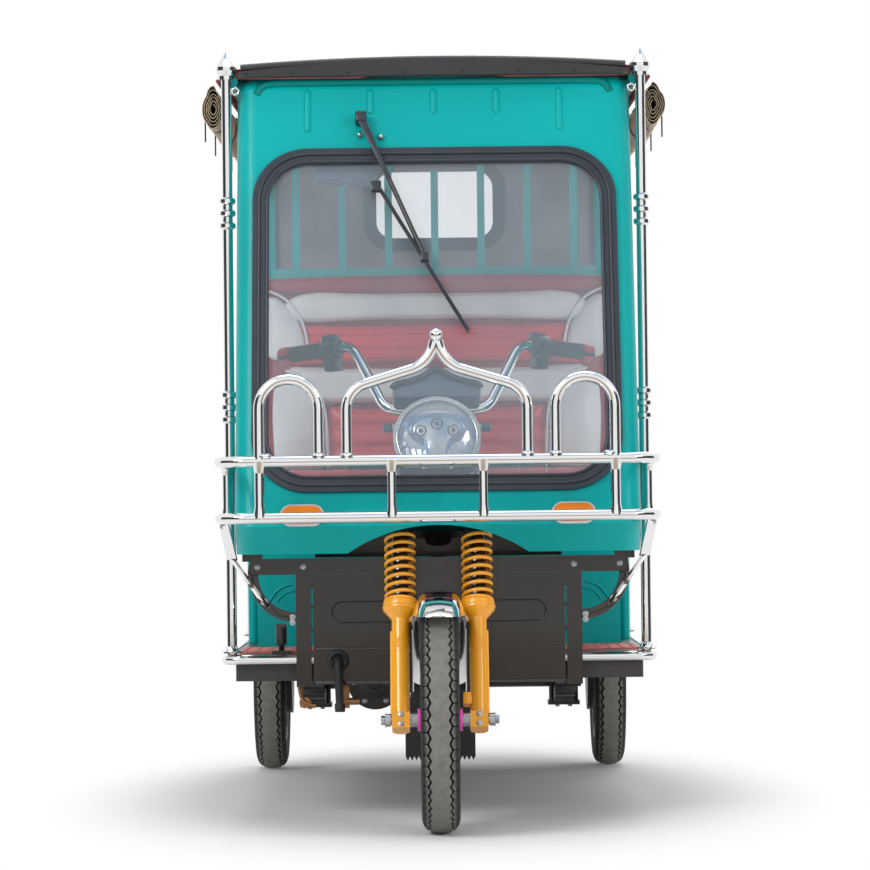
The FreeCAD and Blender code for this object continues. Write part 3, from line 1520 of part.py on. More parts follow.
band_body = new_body("roof_front_band")
band_low = "(shell_top + seat_gap)"
band_rise = "(band_middle_gauge - band_end_gauge)"
band_loop = [
    ("-band_half", band_low),
    ("band_half", band_low),
    ("band_half", band_low + " + band_end_gauge",
     "(band_half^2 + %s^2)/(2*%s)" % (band_rise, band_rise), 1),
    ("-band_half", band_low + " + band_end_gauge"),
]
pad(band_body, new_sketch(band_body, "XZ_Plane", [band_loop]),
    "roof_front_back - seat_gap - band_front_back", backwards=True)
place(band_body, "0", "front_y + band_front_back", "0")

curtain_x = s.overall_width / 2 - s.curtain_radius
curtain_rolls = []
for side in (1, -1):
    for start, end in ((s.curtain_front_back, s.grab_post_back - s.curtain_gap),
                       (s.grab_post_back + s.curtain_gap, s.rear_wall_back - 20)):
        ends = [(side * curtain_x, back(distance), rail_height(distance) - s.curtain_drop)
                for distance in (start, end)]
        curtain_rolls.append(tube(ends, s.curtain_radius))
node(solid(Part.makeCompound(curtain_rolls)), "side_curtains")

grab_x = s.cabin_half + s.cabin_tube_radius + s.seat_gap + s.post_radius
grab_parts = []
for side in (1, -1):
    foot = s.plate_top
    top = rail_height(s.grab_post_back) + 8
    grab_parts.append(Part.makeCylinder(s.post_radius, top - foot,
                                        Vector(side * grab_x, back(s.grab_post_back), foot)))
    level = s.grab_rail_height
    grab_parts.append(tube([(side * grab_x, back(s.grab_post_back), level),
                            (side * grab_x, back(s.rear_post_back), level)], s.post_radius))
node(solid(Part.makeCompound([joined(grab_parts[:2]), joined(grab_parts[2:])])), "passenger_rails")


# Partition, benches and seats

grid_top = "rail_top_front + rail_slope*(mid_post_back - floor_front_back) - cabin_tube_radius"
grid_half = "(cabin_half - cabin_tube_radius - seat_gap)"
grid_y = "front_y + mid_post_back - grid_bar_gauge/2"
grid_parts = [
    block("-" + grid_half, grid_y, "grid_low - grid_bar_width/2", "2*" + grid_half,
          "grid_bar_gauge", "grid_bar_width"),
    block("-" + grid_half, grid_y, grid_top + " - grid_bar_width - 20", "2*" + grid_half,
          "grid_bar_gauge", "grid_bar_width"),
]
for column in range(-3, 4):
    grid_parts.append(block("%d*grid_pitch - grid_bar_width/2" % column, grid_y, "grid_low",
                            "grid_bar_width", "grid_bar_gauge", grid_top + " - 22 - grid_low"))
node(fuse(grid_parts), "partition_grid")


def bench(front, rear, half):
    """A hollow seat box of sheet, open below where it stands on the floor."""
    run = "(%s - %s)" % (rear, front)
    outer = block("-" + half, "front_y + " + front, "plate_top", "2*" + half, run,
                  "bench_top - plate_top")
    inner = block("-%s + panel_gauge" % half, "front_y + %s + panel_gauge" % front,
                  "plate_top - 1", "2*%s - 2*panel_gauge" % half, run + " - 2*panel_gauge",
                  "bench_top - plate_top - panel_gauge + 1")
    return cut(outer, inner)


divider = block("-" + grid_half, "front_y + mid_post_back - partition_gauge/2", "bench_top",
                "2*" + grid_half, "partition_gauge", "grid_low - grid_bar_width/2 - bench_top")
node(fuse([bench("bench_front_back", "bench_rear_back", "bench_half"), divider]), "front_seat_box")
node(bench("rear_bench_back", "(rear_wall_back - seat_gap)", "rear_bench_half"), "rear_seat_box")

node(block("-battery_width/2", "front_y + battery_back", "plate_top", "battery_width",
           "battery_length", "battery_height"), "battery_block")


def cushion(x_half, front, rear, low, high):
    return block("-" + x_half, "front_y + " + front, low, "2*" + x_half,
                 "(%s) - (%s)" % (rear, front), "(%s) - (%s)" % (high, low))


bench_seat = "bench_top + seat_gap"
divider_front = "mid_post_back - partition_gauge/2 - seat_gap"
divider_rear = "mid_post_back + partition_gauge/2 + seat_gap"
node(cushion("cushion_half", "bench_front_back - 10", divider_front, bench_seat, "seat_height"),
     "driver_cushion")
node(cushion("backrest_half", divider_front + " - backrest_gauge", divider_front,
             "seat_height + seat_gap", "backrest_top"), "driver_backrest")
node(fuse([
    cushion("cushion_half", divider_rear, "bench_rear_back + 10", bench_seat, "seat_height"),
    cushion("cushion_half", "rear_bench_back - 10", "rear_wall_back - seat_gap", bench_seat,
            "seat_height")]), "passenger_cushions")
node(fuse([
    cushion("backrest_half", divider_rear, divider_rear + " + backrest_gauge",
            "seat_height + seat_gap", "backrest_top"),
    cushion("backrest_half", "rear_wall_back - seat_gap - backrest_gauge",
            "rear_wall_back - seat_gap", "seat_height + seat_gap", "backrest_top")]),
    "passenger_backrests")


# Rear wall, window and side panels

wall = new_body("RearWallPanel", listed=False)
wall_side = "rail_top_rear + cabin_tube_radius - 2"
wall_loop = [
    ("-rear_wall_half", "floor_low + seat_gap"),
    ("rear_wall_half", "floor_low + seat_gap"),
    ("rear_wall_half", wall_side, "(rear_wall_half^2 + roof_rise_rear^2)/(2*roof_rise_rear)", 1),
    ("-rear_wall_half", wall_side),
]
pad(wall, new_sketch(wall, "XZ_Plane", [wall_loop]), "rear_wall_gauge", backwards=True)
place(wall, "0", "front_y + rear_wall_back", "0")
window_plug = place(opening_tool(WINDOW_HOLE, "100", "WindowPlug"), "0", "front_y + rear_wall_back", "0")
node(cut(wall, window_plug), "rear_wall")
place(gasket("rear_window_gasket", WINDOW_HOLE, "rear_wall_gauge"), "0",
      "front_y + rear_wall_back", "0")
place(pane("rear_window_glass", WINDOW_HOLE), "0", "front_y + rear_wall_back", "0")

quarters = []
for side in ("floor_half + seat_gap", "-floor_half - seat_gap - quarter_gauge"):
    quarter = new_body("Quarter", listed=False)
    reach = "sqrt(arch_radius^2 - (axle_height - quarter_low)^2)"
    quarter_loop = [
        ("quarter_front_back", "quarter_low"),
        ("wheel_base - " + reach, "quarter_low", "arch_radius", -1),
        ("wheel_base", "axle_height + arch_radius", "arch_radius", -1),
        ("wheel_base + " + reach, "quarter_low"),
        ("rear_wall_back + rear_wall_gauge", "quarter_low"),
        ("rear_wall_back + rear_wall_gauge", "quarter_top"),
        ("quarter_front_back + quarter_sweep", "quarter_top", "quarter_sweep", 1),
        ("quarter_front_back", "quarter_top - quarter_sweep"),
    ]
    pad(quarter, new_sketch(quarter, "YZ_Plane", [quarter_loop]), "quarter_gauge")
    place(quarter, side, "front_y", "0")
    quarters.append(quarter)
node(fuse(quarters), "quarter_panels")


# Rear running gear

guards = []
for side in (1, -1):
    guard_body = new_body("Mudguard", listed=False)
    inner = "rear_bench_half + seat_gap"
    loop = [
        (inner, "mudguard_radius - mudguard_gauge"),
        (inner, "mudguard_radius"),
        ("mudguard_outer", "mudguard_radius"),
        ("mudguard_outer", "mudguard_radius - mudguard_lip"),
        ("mudguard_outer - mudguard_gauge", "mudguard_radius - mudguard_lip"),
        ("mudguard_outer - mudguard_gauge", "mudguard_radius - mudguard_gauge"),
    ]
    if side < 0:
        loop = [("-(%s)" % across, up) for across, up in loop]
    turned = revolve(guard_body, new_sketch(guard_body, "XZ_Plane", [loop]))
    turned.Midplane = True
    bind(turned, "Angle", "mudguard_rear_angle - mudguard_front_angle")
    place(guard_body, "0", "rear_y", "axle_height",
          "90 - (mudguard_front_angle + mudguard_rear_angle)/2")
    guards.append(guard_body)
node(fuse(guards), "rear_mudguards")

axle_y = "rear_y"
stub_start = "axle_tube_half"
stub_length = "rear_track/2 + hub_length/2 + axle_nut_length - axle_tube_half"
plate_start = "rear_track/2 - rim_width/2 - rim_gauge - wheel_side_gap - brake_plate_gauge"
rear_parts = [rod("-axle_tube_half", axle_y, "axle_height", "axle_tube_radius", "2*axle_tube_half", "x")]
for side in (1, -1):
    start = stub_start if side > 0 else "-%s - (%s)" % (stub_start, stub_length)
    rear_parts.append(rod(start, axle_y, "axle_height", "axle_radius", stub_length, "x"))
    start = plate_start if side > 0 else "-(%s) - brake_plate_gauge" % plate_start
    rear_parts.append(rod(start, axle_y, "axle_height", "brake_plate_radius", "brake_plate_gauge", "x"))
rear_parts.append(rod("gear_case_side - gear_case_length/2", axle_y, "axle_height", "gear_case_radius",
                      "gear_case_length", "x"))
rear_parts.append(rod("gear_case_side", axle_y + " - gear_neck", "axle_height", "gear_case_radius*0.7",
                      "gear_neck", "y"))
node(fuse(rear_parts), "rear_axle")
node(rod("motor_side", axle_y + " - gear_neck - motor_length - seat_gap", "axle_height", "motor_radius",
         "motor_length", "y"), "drive_motor")


def leaf(level):
    """One curved leaf; each lower one is shorter."""
    half = s.leaf_span / 2 * (1 - level / (s.leaf_count + 1.0))
    bend = ((s.leaf_span / 2) ** 2 + s.leaf_sag ** 2) / (2 * s.leaf_sag) + level * s.leaf_gauge
    top = -level * s.leaf_gauge
    lift = bend - math.sqrt(bend ** 2 - half ** 2)
    lower = bend + s.leaf_gauge
    drop = lower - math.sqrt(lower ** 2 - half ** 2)
    over = Part.Arc(Vector(0, -half, top + lift), Vector(0, 0, top), Vector(0, half, top + lift))
    low = top - s.leaf_gauge
    under = Part.Arc(Vector(0, half, low + drop), Vector(0, 0, low), Vector(0, -half, low + drop))
    edges = [over.toShape(), Part.LineSegment(Vector(0, half, top + lift),
                                              Vector(0, half, low + drop)).toShape(),
             under.toShape(), Part.LineSegment(Vector(0, -half, low + drop),
                                               Vector(0, -half, top + lift)).toShape()]
    strip = Part.Face(Part.Wire(edges)).extrude(Vector(s.leaf_width, 0, 0))
    strip.translate(Vector(-s.leaf_width / 2, 0, 0))
    return strip


def spring_pack():
    """Leaves, their eyes, and the plate and bolts that clamp them under the axle."""
    parts = [leaf(level) for level in range(int(s.leaf_count))]
    for end in (-1, 1):
        eye = Part.makeCylinder(s.leaf_eye_radius, s.leaf_width,
                                Vector(-s.leaf_width / 2, end * s.leaf_span / 2,
                                       s.leaf_sag - s.leaf_gauge / 2), Vector(1, 0, 0))
        parts.append(eye)
        top = s.rail_low - (s.axle_height - s.axle_tube_radius - s.seat_gap) - s.seat_gap
        hanger = Part.makeBox(s.leaf_width, s.hanger_gauge, top - s.leaf_sag,
                              Vector(-s.leaf_width / 2, end * s.leaf_span / 2 - s.hanger_gauge / 2,
                                     s.leaf_sag))
        parts.append(hanger)
    deep = s.leaf_count * s.leaf_gauge
    parts.append(Part.makeBox(s.leaf_width + 30, 90, 10, Vector(-s.leaf_width / 2 - 15, -45, -deep - 9)))
    bolt_half = s.axle_tube_radius + s.bolt_radius + s.seat_gap
    for side in (-1, 1):
        x = side * (s.leaf_width / 2 + s.bolt_radius + 1)
        rise = s.axle_tube_radius
        bolt = [(x, -bolt_half, -deep - 9), (x, -bolt_half, rise + bolt_half),
                (x, bolt_half, rise + bolt_half), (x, bolt_half, -deep - 9)]
        parts.append(tube(bolt, s.bolt_radius, bolt_half - 0.1))
    return joined(parts)


packs = []
for side in (1, -1):
    pack = spring_pack()
    pack.translate(Vector(side * s.spring_side, s.rear_y,
                          s.axle_height - s.axle_tube_radius - s.seat_gap))
    packs.append(pack)
node(solid(Part.makeCompound(packs)), "leaf_springs")


# Rear end and small controls

eye_y = "front_y + frame_rear_back + seat_gap"
eye_low = "rail_low + rail_depth/2 - tow_eye_gauge/2"
eye_parts = [
    block("-tow_eye_half - 10", eye_y, "rail_low + 2", "2*tow_eye_half + 20", "8", "rail_depth - 4"),
    block("-tow_eye_half", eye_y, eye_low, "2*tow_eye_half", "tow_eye_reach", "tow_eye_gauge"),
    rod("0", eye_y + " + tow_eye_reach", eye_low, "tow_eye_half", "tow_eye_gauge"),
]
eye_hole = rod("0", eye_y + " + tow_eye_reach", eye_low + " - 5", "tow_eye_bore", "tow_eye_gauge + 10")
node(cut(fuse(eye_parts), eye_hole), "tow_eye")

bumper_y = s.rear_end_y - s.bumper_radius
arm_x = s.rail_half
bumper_parts = [tube([(-s.bumper_half, bumper_y, s.bumper_height),
                      (s.bumper_half, bumper_y, s.bumper_height)], s.bumper_radius)]
for side in (1, -1):
    arm = [(side * arm_x, back(s.frame_rear_back) + s.seat_gap, s.rail_low + s.rail_depth / 2),
           (side * arm_x, bumper_y, s.rail_low + s.rail_depth / 2),
           (side * arm_x, bumper_y, s.bumper_height)]
    bumper_parts.append(tube(arm, s.bumper_radius, 50))
node(solid(joined(bumper_parts)), "rear_bumper")

lamps = []
for side in ("lamp_side - lamp_width/2", "-lamp_side - lamp_width/2"):
    lamps.append(block(side, "front_y + rear_wall_back + rear_wall_gauge + seat_gap", "lamp_low",
                       "lamp_width", "lamp_depth", "lamp_height"))
node(fuse(lamps), "tail_lamps")

foot_z = s.plate_top + s.seat_gap
lever_y = back(s.controls_back)
plate_half = s.controls_plate_half
plate_gauge = s.controls_plate_gauge
lever_bend = lever_y - s.lever_lean / 2
lever_parts = [tube([(s.lever_side, lever_y, foot_z + plate_gauge / 2),
                     (s.lever_side, lever_bend, foot_z + s.lever_shank)], s.lever_rod_radius),
               tube([(s.lever_side, lever_bend, foot_z + s.lever_shank - s.lever_rod_radius),
                     (s.lever_side, lever_y - s.lever_lean, foot_z + s.lever_reach_up)],
                    2 * s.lever_rod_radius),
               Part.makeBox(2 * plate_half, 2 * plate_half, plate_gauge,
                            Vector(s.lever_side - plate_half, lever_y - plate_half, foot_z))]
pad_y = lever_y - s.pedal_lean
pedal_parts = [tube([(s.pedal_side, lever_y, foot_z + plate_gauge / 2),
                     (s.pedal_side, pad_y, foot_z + s.pedal_height)], s.lever_rod_radius),
               Part.makeBox(2 * plate_half, 2 * plate_half, plate_gauge,
                            Vector(s.pedal_side - plate_half, lever_y - plate_half, foot_z)),
               Part.makeBox(s.pedal_width, s.pedal_gauge, s.pedal_depth,
                            Vector(s.pedal_side - s.pedal_width / 2, pad_y - s.pedal_gauge,
                                   foot_z + s.pedal_height - s.pedal_depth / 2))]
node(solid(Part.makeCompound([joined(lever_parts), joined(pedal_parts)])), "driver_controls")


# Check everything, then write one file a piece

doc.recompute()
failed = [obj.Label for obj in doc.Objects
          if "Invalid" in obj.State or "Error" in obj.State]
failed += [obj.Label for obj in NODES if obj.Shape.isNull() or not obj.Shape.isValid()]
if failed:
    raise RuntimeError("not built: " + ", ".join(failed))
os.makedirs("parts", exist_ok=True)
for obj in NODES:
    obj.Shape.exportStep("parts/%s.step" % obj.Label)
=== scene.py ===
"""The looks of a three-wheeled passenger rickshaw, dressed over its CAD model. Metres, +Z up, facing -Y."""
import math

import bmesh
import bpy
from mathutils import Matrix, Vector, noise


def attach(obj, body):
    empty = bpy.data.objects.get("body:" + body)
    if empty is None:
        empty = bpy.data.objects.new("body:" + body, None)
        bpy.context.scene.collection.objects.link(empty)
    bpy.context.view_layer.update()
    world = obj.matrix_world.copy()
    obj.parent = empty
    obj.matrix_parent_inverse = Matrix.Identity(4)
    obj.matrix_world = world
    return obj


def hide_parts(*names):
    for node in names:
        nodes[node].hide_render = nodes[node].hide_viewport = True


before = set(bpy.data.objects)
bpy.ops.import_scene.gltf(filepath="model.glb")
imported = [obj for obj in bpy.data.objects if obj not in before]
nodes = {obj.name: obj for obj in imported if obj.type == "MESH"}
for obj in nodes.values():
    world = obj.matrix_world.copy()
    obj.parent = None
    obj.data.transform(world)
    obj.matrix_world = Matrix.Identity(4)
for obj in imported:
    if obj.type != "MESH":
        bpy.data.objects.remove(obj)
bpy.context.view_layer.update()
bpy.ops.object.select_all(action="DESELECT")


# Camera, light and floor

camera_data = bpy.data.cameras.new("Camera")
camera_data.lens = 159.6
camera_data.sensor_width = 36
camera_data.clip_end = 100
camera = bpy.data.objects.new("Camera", camera_data)
bpy.context.scene.collection.objects.link(camera)
camera.matrix_world = (Matrix.Translation((0, -8.9215, 0.65))
                       @ Matrix.Rotation(math.radians(0.03), 4, "Z")
                       @ Matrix.Rotation(math.radians(91.13), 4, "X")
                       @ Matrix.Rotation(math.radians(-0.65), 4, "Z"))
bpy.context.scene.camera = camera
bpy.context.scene.view_settings.view_transform = "Standard"


def soft_lamp(name, place, aim, size, watts):
    data = bpy.data.lights.new(name, "AREA")
    data.shape = "RECTANGLE"
    data.size, data.size_y = size
    data.energy = watts
    lamp = bpy.data.objects.new(name, data)
    bpy.context.scene.collection.objects.link(lamp)
    lamp.location = place
    lamp.rotation_euler = (Vector(aim) - Vector(place)).to_track_quat("-Z", "Y").to_euler()
    return lamp


soft_lamp("KeyLamp", (-3.4, -4.8, 4.0), (0, -0.6, 0.9), (2.6, 2.2), 165)
soft_lamp("FillLamp", (3.8, -4.4, 2.2), (0, -0.4, 0.8), (2.4, 2.4), 85)
soft_lamp("BackLamp", (0.6, 4.8, 3.4), (0, 0.3, 1.0), (3.0, 2.0), 100)
soft_lamp("TopLamp", (0, -0.4, 4.8), (0, 0, 0.8), (3.2, 3.2), 60)


def studio_world():
    """Soft pale light all round; white to the camera, and in metal and glass."""
    world = bpy.data.worlds.new("Studio")
    bpy.context.scene.world = world
    world.use_nodes = True
    made = world.node_tree.nodes
    made.clear()
    link = world.node_tree.links.new
    ambient, white = made.new("ShaderNodeBackground"), made.new("ShaderNodeBackground")
    ambient.inputs["Color"].default_value = (0.9, 0.95, 1.0, 1)
    ambient.inputs["Strength"].default_value = 0.5
    white.inputs["Color"].default_value = (1, 1, 1, 1)
    rays = made.new("ShaderNodeLightPath")
    seen = rays.outputs["Is Camera Ray"]
    for kind in ("Is Glossy Ray", "Is Transmission Ray"):
        either = made.new("ShaderNodeMath")
        either.operation = "MAXIMUM"
        link(seen, either.inputs[0])
        link(rays.outputs[kind], either.inputs[1])
        seen = either.outputs[0]
    mix = made.new("ShaderNodeMixShader")
    link(seen, mix.inputs[0])
    link(ambient.outputs[0], mix.inputs[1])
    link(white.outputs[0], mix.inputs[2])
    link(mix.outputs[0], made.new("ShaderNodeOutputWorld").inputs["Surface"])


studio_world()


# Finishes


def colour(red, green, blue):
    """A screen colour in 0 to 255, as the shader's linear value."""
    def linear(part):
        part /= 255
        return part / 12.92 if part <= 0.04045 else ((part + 0.055) / 1.055) ** 2.4
    return (linear(red), linear(green), linear(blue), 1)


def shader(name, base, rough, metal=0.0, coat=0.0, **sockets):
    """A new material with its plain values set on the shader's own sockets."""
    finish = bpy.data.materials.new(name)
    finish.use_nodes = True
    node = finish.node_tree.nodes["Principled BSDF"]
    node.inputs["Base Color"].default_value = base
    node.inputs["Roughness"].default_value = rough
    node.inputs["Metallic"].default_value = metal
    node.inputs["Coat Weight"].default_value = coat
    for socket, value in sockets.items():
        node.inputs[socket.replace("_", " ")].default_value = value
    finish.diffuse_color = base
    return finish


def add(finish, kind, **values):
    node = finish.node_tree.nodes.new("ShaderNode" + kind)
    for key, value in values.items():
        if key in node.inputs:
            node.inputs[key].default_value = value
        else:
            setattr(node, key, value)
    return node


def wire(finish, source, target):
    finish.node_tree.links.new(source, target)


def principled(finish):
    return finish.node_tree.nodes["Principled BSDF"]


def where(finish, scale=(1, 1, 1)):
    """Object coordinates, stretched."""
    coordinates = add(finish, "TexCoord")
    mapping = add(finish, "Mapping")
    mapping.inputs["Scale"].default_value = scale
    wire(finish, coordinates.outputs["Object"], mapping.inputs["Vector"])
    return mapping.outputs["Vector"]


def noisy(finish, scale, detail=3.0):
    texture = add(finish, "TexNoise")
    texture.inputs["Scale"].default_value = scale
    texture.inputs["Detail"].default_value = detail
    wire(finish, where(finish), texture.inputs["Vector"])
    return texture.outputs["Fac"]


def blended(finish, factor, first, second, low, high):
    """A ramp between two colours by a factor."""
    ramp = add(finish, "ValToRGB")
    ramp.color_ramp.elements[0].position = low
    ramp.color_ramp.elements[1].position = high
    ramp.color_ramp.elements[0].color = first
    ramp.color_ramp.elements[1].color = second
    wire(finish, factor, ramp.inputs[0])
    return ramp.outputs[0]


def vary_colour(finish, first, second, scale, low=0.3, high=0.7):
    wire(finish, blended(finish, noisy(finish, scale), first, second, low, high),
         principled(finish).inputs["Base Color"])


def spanned(finish, value, low, high, start=0.0, stop=1.0, **kind):
    """A value carried from one span to another."""
    span = add(finish, "MapRange", **kind)
    for socket, number in (("From Min", start), ("From Max", stop), ("To Min", low), ("To Max", high)):
        span.inputs[socket].default_value = number
    wire(finish, value, span.inputs["Value"])
    return span.outputs[0]


def vary_rough(finish, scale, low, high):
    wire(finish, spanned(finish, noisy(finish, scale, 4.0), low, high), principled(finish).inputs["Roughness"])


def raise_by(finish, height, strength, distance):
    """Bump from a height, chained after any bump the finish has."""
    bump = add(finish, "Bump")
    bump.inputs["Strength"].default_value = strength
    bump.inputs["Distance"].default_value = distance
    wire(finish, height, bump.inputs["Height"])
    normal = principled(finish).inputs["Normal"]
    if normal.is_linked:
        wire(finish, normal.links[0].from_socket, bump.inputs["Normal"])
    wire(finish, bump.outputs[0], normal)


def enamel(name, main, shade, rough, coat, gloss=0.5):
    """Sprayed gloss paint: slight orange peel, dust in its gloss and uneven depth of colour."""
    main, shade = colour(*main), colour(*shade)
    finish = shader(name, main, rough, coat=coat, Coat_Roughness=0.06, Specular_IOR_Level=gloss)
    vary_colour(finish, main, shade, 2.2, 0.35, 0.8)
    vary_rough(finish, 34, rough * 0.75, rough * 1.5)
    raise_by(finish, noisy(finish, 260, 1.0), 0.12, 0.0004)
    return finish


def plated(name, tone, rough):
    """Chrome plate with fine polishing marks and a little haze."""
    finish = shader(name, colour(*tone), rough, metal=1.0)
    vary_rough(finish, 18, rough * 0.6, rough * 1.9)
    raise_by(finish, noisy(finish, 55, 2.0), 0.05, 0.0006)
    return finish


def moulded(name, main, rough, grain=420, depth=0.18):
    """Moulded plastic or rubber with a fine grain."""
    main = colour(*main)
    finish = shader(name, main, rough)
    darker = (main[0] * 0.72, main[1] * 0.72, main[2] * 0.72, 1)
    vary_colour(finish, main, darker, 14)
    vary_rough(finish, 60, rough * 0.85, min(1.0, rough * 1.2))
    raise_by(finish, noisy(finish, grain, 2.0), depth, 0.0005)
    return finish


def vinyl(name, main, shade):
    """Upholstery vinyl: pebbled grain, soft sheen and faint creases."""
    main, shade = colour(*main), colour(*shade)
    finish = shader(name, main, 0.42, Sheen_Weight=0.12, Coat_Weight=0.12)
    vary_colour(finish, main, shade, 7, 0.35, 0.75)
    vary_rough(finish, 40, 0.34, 0.52)
    grain = add(finish, "TexVoronoi")
    grain.inputs["Scale"].default_value = 520
    wire(finish, where(finish), grain.inputs["Vector"])
    raise_by(finish, grain.outputs["Distance"], 0.22, 0.0005)
    raise_by(finish, noisy(finish, 26, 4.0), 0.25, 0.002)
    return finish


def woven(name, main, shade, threads=900):
    """Coated cloth: crossing sets of threads, with wear and folds in its colour."""
    main, shade = colour(*main), colour(*shade)
    finish = shader(name, main, 0.78, Sheen_Weight=0.25)
    vary_colour(finish, main, shade, 9, 0.3, 0.75)
    for direction in ("X", "Y", "Z"):
        threads_across = add(finish, "TexWave", bands_direction=direction)
        threads_across.inputs["Scale"].default_value = threads / 20
        threads_across.inputs["Distortion"].default_value = 0.6
        wire(finish, where(finish), threads_across.inputs["Vector"])
        raise_by(finish, threads_across.outputs["Fac"], 0.13, 0.0006)
    raise_by(finish, noisy(finish, 18, 4.0), 0.3, 0.004)
    return finish


def clear_sheet(name, painted_reflection_veil, edge_on, face_on, rough=0.03):
    """Glass or clear plastic: a pale veil of painted reflection, thin face on, brighter edge on, with a film of dust.
    """
    finish = shader(name, colour(*painted_reflection_veil), rough, Specular_IOR_Level=0.8)
    facing = add(finish, "LayerWeight")
    facing.inputs["Blend"].default_value = 0.25
    total = add(finish, "Math", operation="ADD")
    wire(finish, spanned(finish, facing.outputs["Facing"], face_on, edge_on), total.inputs[0])
    wire(finish, spanned(finish, noisy(finish, 2.4, 5.0), 0, 0.1, 0.35, 0.9), total.inputs[1])
    wire(finish, total.outputs[0], principled(finish).inputs["Alpha"])
    return finish


teal = enamel("TealEnamel", (0, 164, 162), (0, 146, 146), 0.28, 0.08, 0.16)
# A darker copy of the teal paint, used as painted shade: the roof band's shadow on the shell's top roll, and shade on
# the wheel arch lips and the rear panel's beads.
teal_painted_shade = enamel("TealPaintedShade", (0, 124, 118), (0, 108, 104), 0.34, 0.06, 0.12)
black_gloss = enamel("BlackEnamel", (30, 28, 26), (44, 40, 35), 0.2, 0.5, 0.45)
frame_black = enamel("FrameBlack", (40, 40, 42), (56, 50, 44), 0.42, 0.2)
gold = enamel("GoldEnamel", (250, 172, 20), (236, 154, 8), 0.22, 0.5)
rim_silver = enamel("RimSilver", (176, 180, 182), (150, 152, 152), 0.34, 0.3)
chrome = plated("ChromePlate", (232, 232, 232), 0.05)
# Chrome darkened as painted shade for the fork tubes, which sit in shade inside the springs. The headlight's three
# small lamps take it too, for darker dishes.
shade_darkened_chrome = plated("ShadeDarkenedChrome", (104, 102, 104), 0.1)
bright_steel = plated("BrightSteel", (176, 178, 180), 0.26)
lamp_mirror = plated("LampMirror", (222, 230, 238), 0.14)
blue_mirror = plated("BlueMirror", (120, 158, 220), 0.12)
pink = enamel("PinkAnodised", (240, 88, 190), (215, 48, 150), 0.3, 0.4)
black_rubber = moulded("BlackRubber", (34, 34, 36), 0.62)
gasket_rubber = moulded("GasketRubber", (40, 47, 58), 0.34, 300, 0.1)
grip_rubber = moulded("GripRubber", (44, 52, 62), 0.55)
grip_red = moulded("GripRed", (196, 44, 40), 0.45)
mat_rubber = moulded("MatRubber", (238, 138, 128), 0.66)
lamp_plastic = moulded("LampPlastic", (198, 208, 210), 0.26, 200, 0.05)
cluster_plastic = moulded("ClusterPlastic", (74, 92, 112), 0.42)
dark_plastic = moulded("DarkPlastic", (38, 44, 52), 0.34)
stub_plastic = moulded("StubPlastic", (44, 84, 88), 0.42)
battery_plastic = moulded("BatteryPlastic", (62, 66, 72), 0.5)
dial_paper = moulded("DialPaper", (214, 216, 212), 0.4)
amber = moulded("AmberLens", (246, 138, 10), 0.2, 90, 0.2)
band_vinyl = vinyl("BandVinyl", (30, 31, 34), (22, 22, 25))
brown_steel = plated("BrownSteel", (150, 112, 78), 0.32)
lens_red = moulded("RedLens", (180, 20, 24), 0.16, 90, 0.2)
lens_clear = moulded("ClearLens", (214, 216, 218), 0.14, 90, 0.2)
seat_red = vinyl("SeatRed", (206, 56, 58), (180, 44, 48))
seat_dark = vinyl("SeatDark", (146, 34, 40), (122, 28, 34))
seat_white = vinyl("SeatWhite", (208, 210, 210), (184, 186, 188))
roof_cloth = woven("RoofCloth", (208, 48, 40), (176, 36, 34))
curtain_cloth = woven("CurtainCloth", (196, 172, 138), (160, 136, 106))
curtain_lining = woven("CurtainLining", (32, 30, 30), (24, 22, 22))
strap_web = woven("StrapWebbing", (38, 38, 40), (26, 26, 28), 1400)
rear_cloth = woven("RearCloth", (120, 124, 130), (98, 100, 106))
# The windshield's veil colour is a painted reflection of the sky, thickening edge on.
glass = clear_sheet("ClearGlass", (182, 198, 210), 0.74, 0.11)
lens = clear_sheet("LampLens", (226, 236, 240), 0.6, 0.1, 0.05)


def tread_rubber():
    """Tyre rubber, dusty grey where it meets the road and black in its grooves."""
    finish = moulded("TyreRubber", (32, 32, 34), 0.8, 240, 0.3)
    worn = add(finish, "Attribute", attribute_name="dust")
    specks = add(finish, "Math", operation="MULTIPLY")
    wire(finish, worn.outputs["Fac"], specks.inputs[0])
    wire(finish, spanned(finish, noisy(finish, 70, 5.0), 0.55, 1.2), specks.inputs[1])
    wire(finish, blended(finish, specks.outputs[0], colour(22, 23, 25), colour(124, 122, 116), 0.1, 1.0),
         principled(finish).inputs["Base Color"])
    return finish


tyre_rubber = tread_rubber()

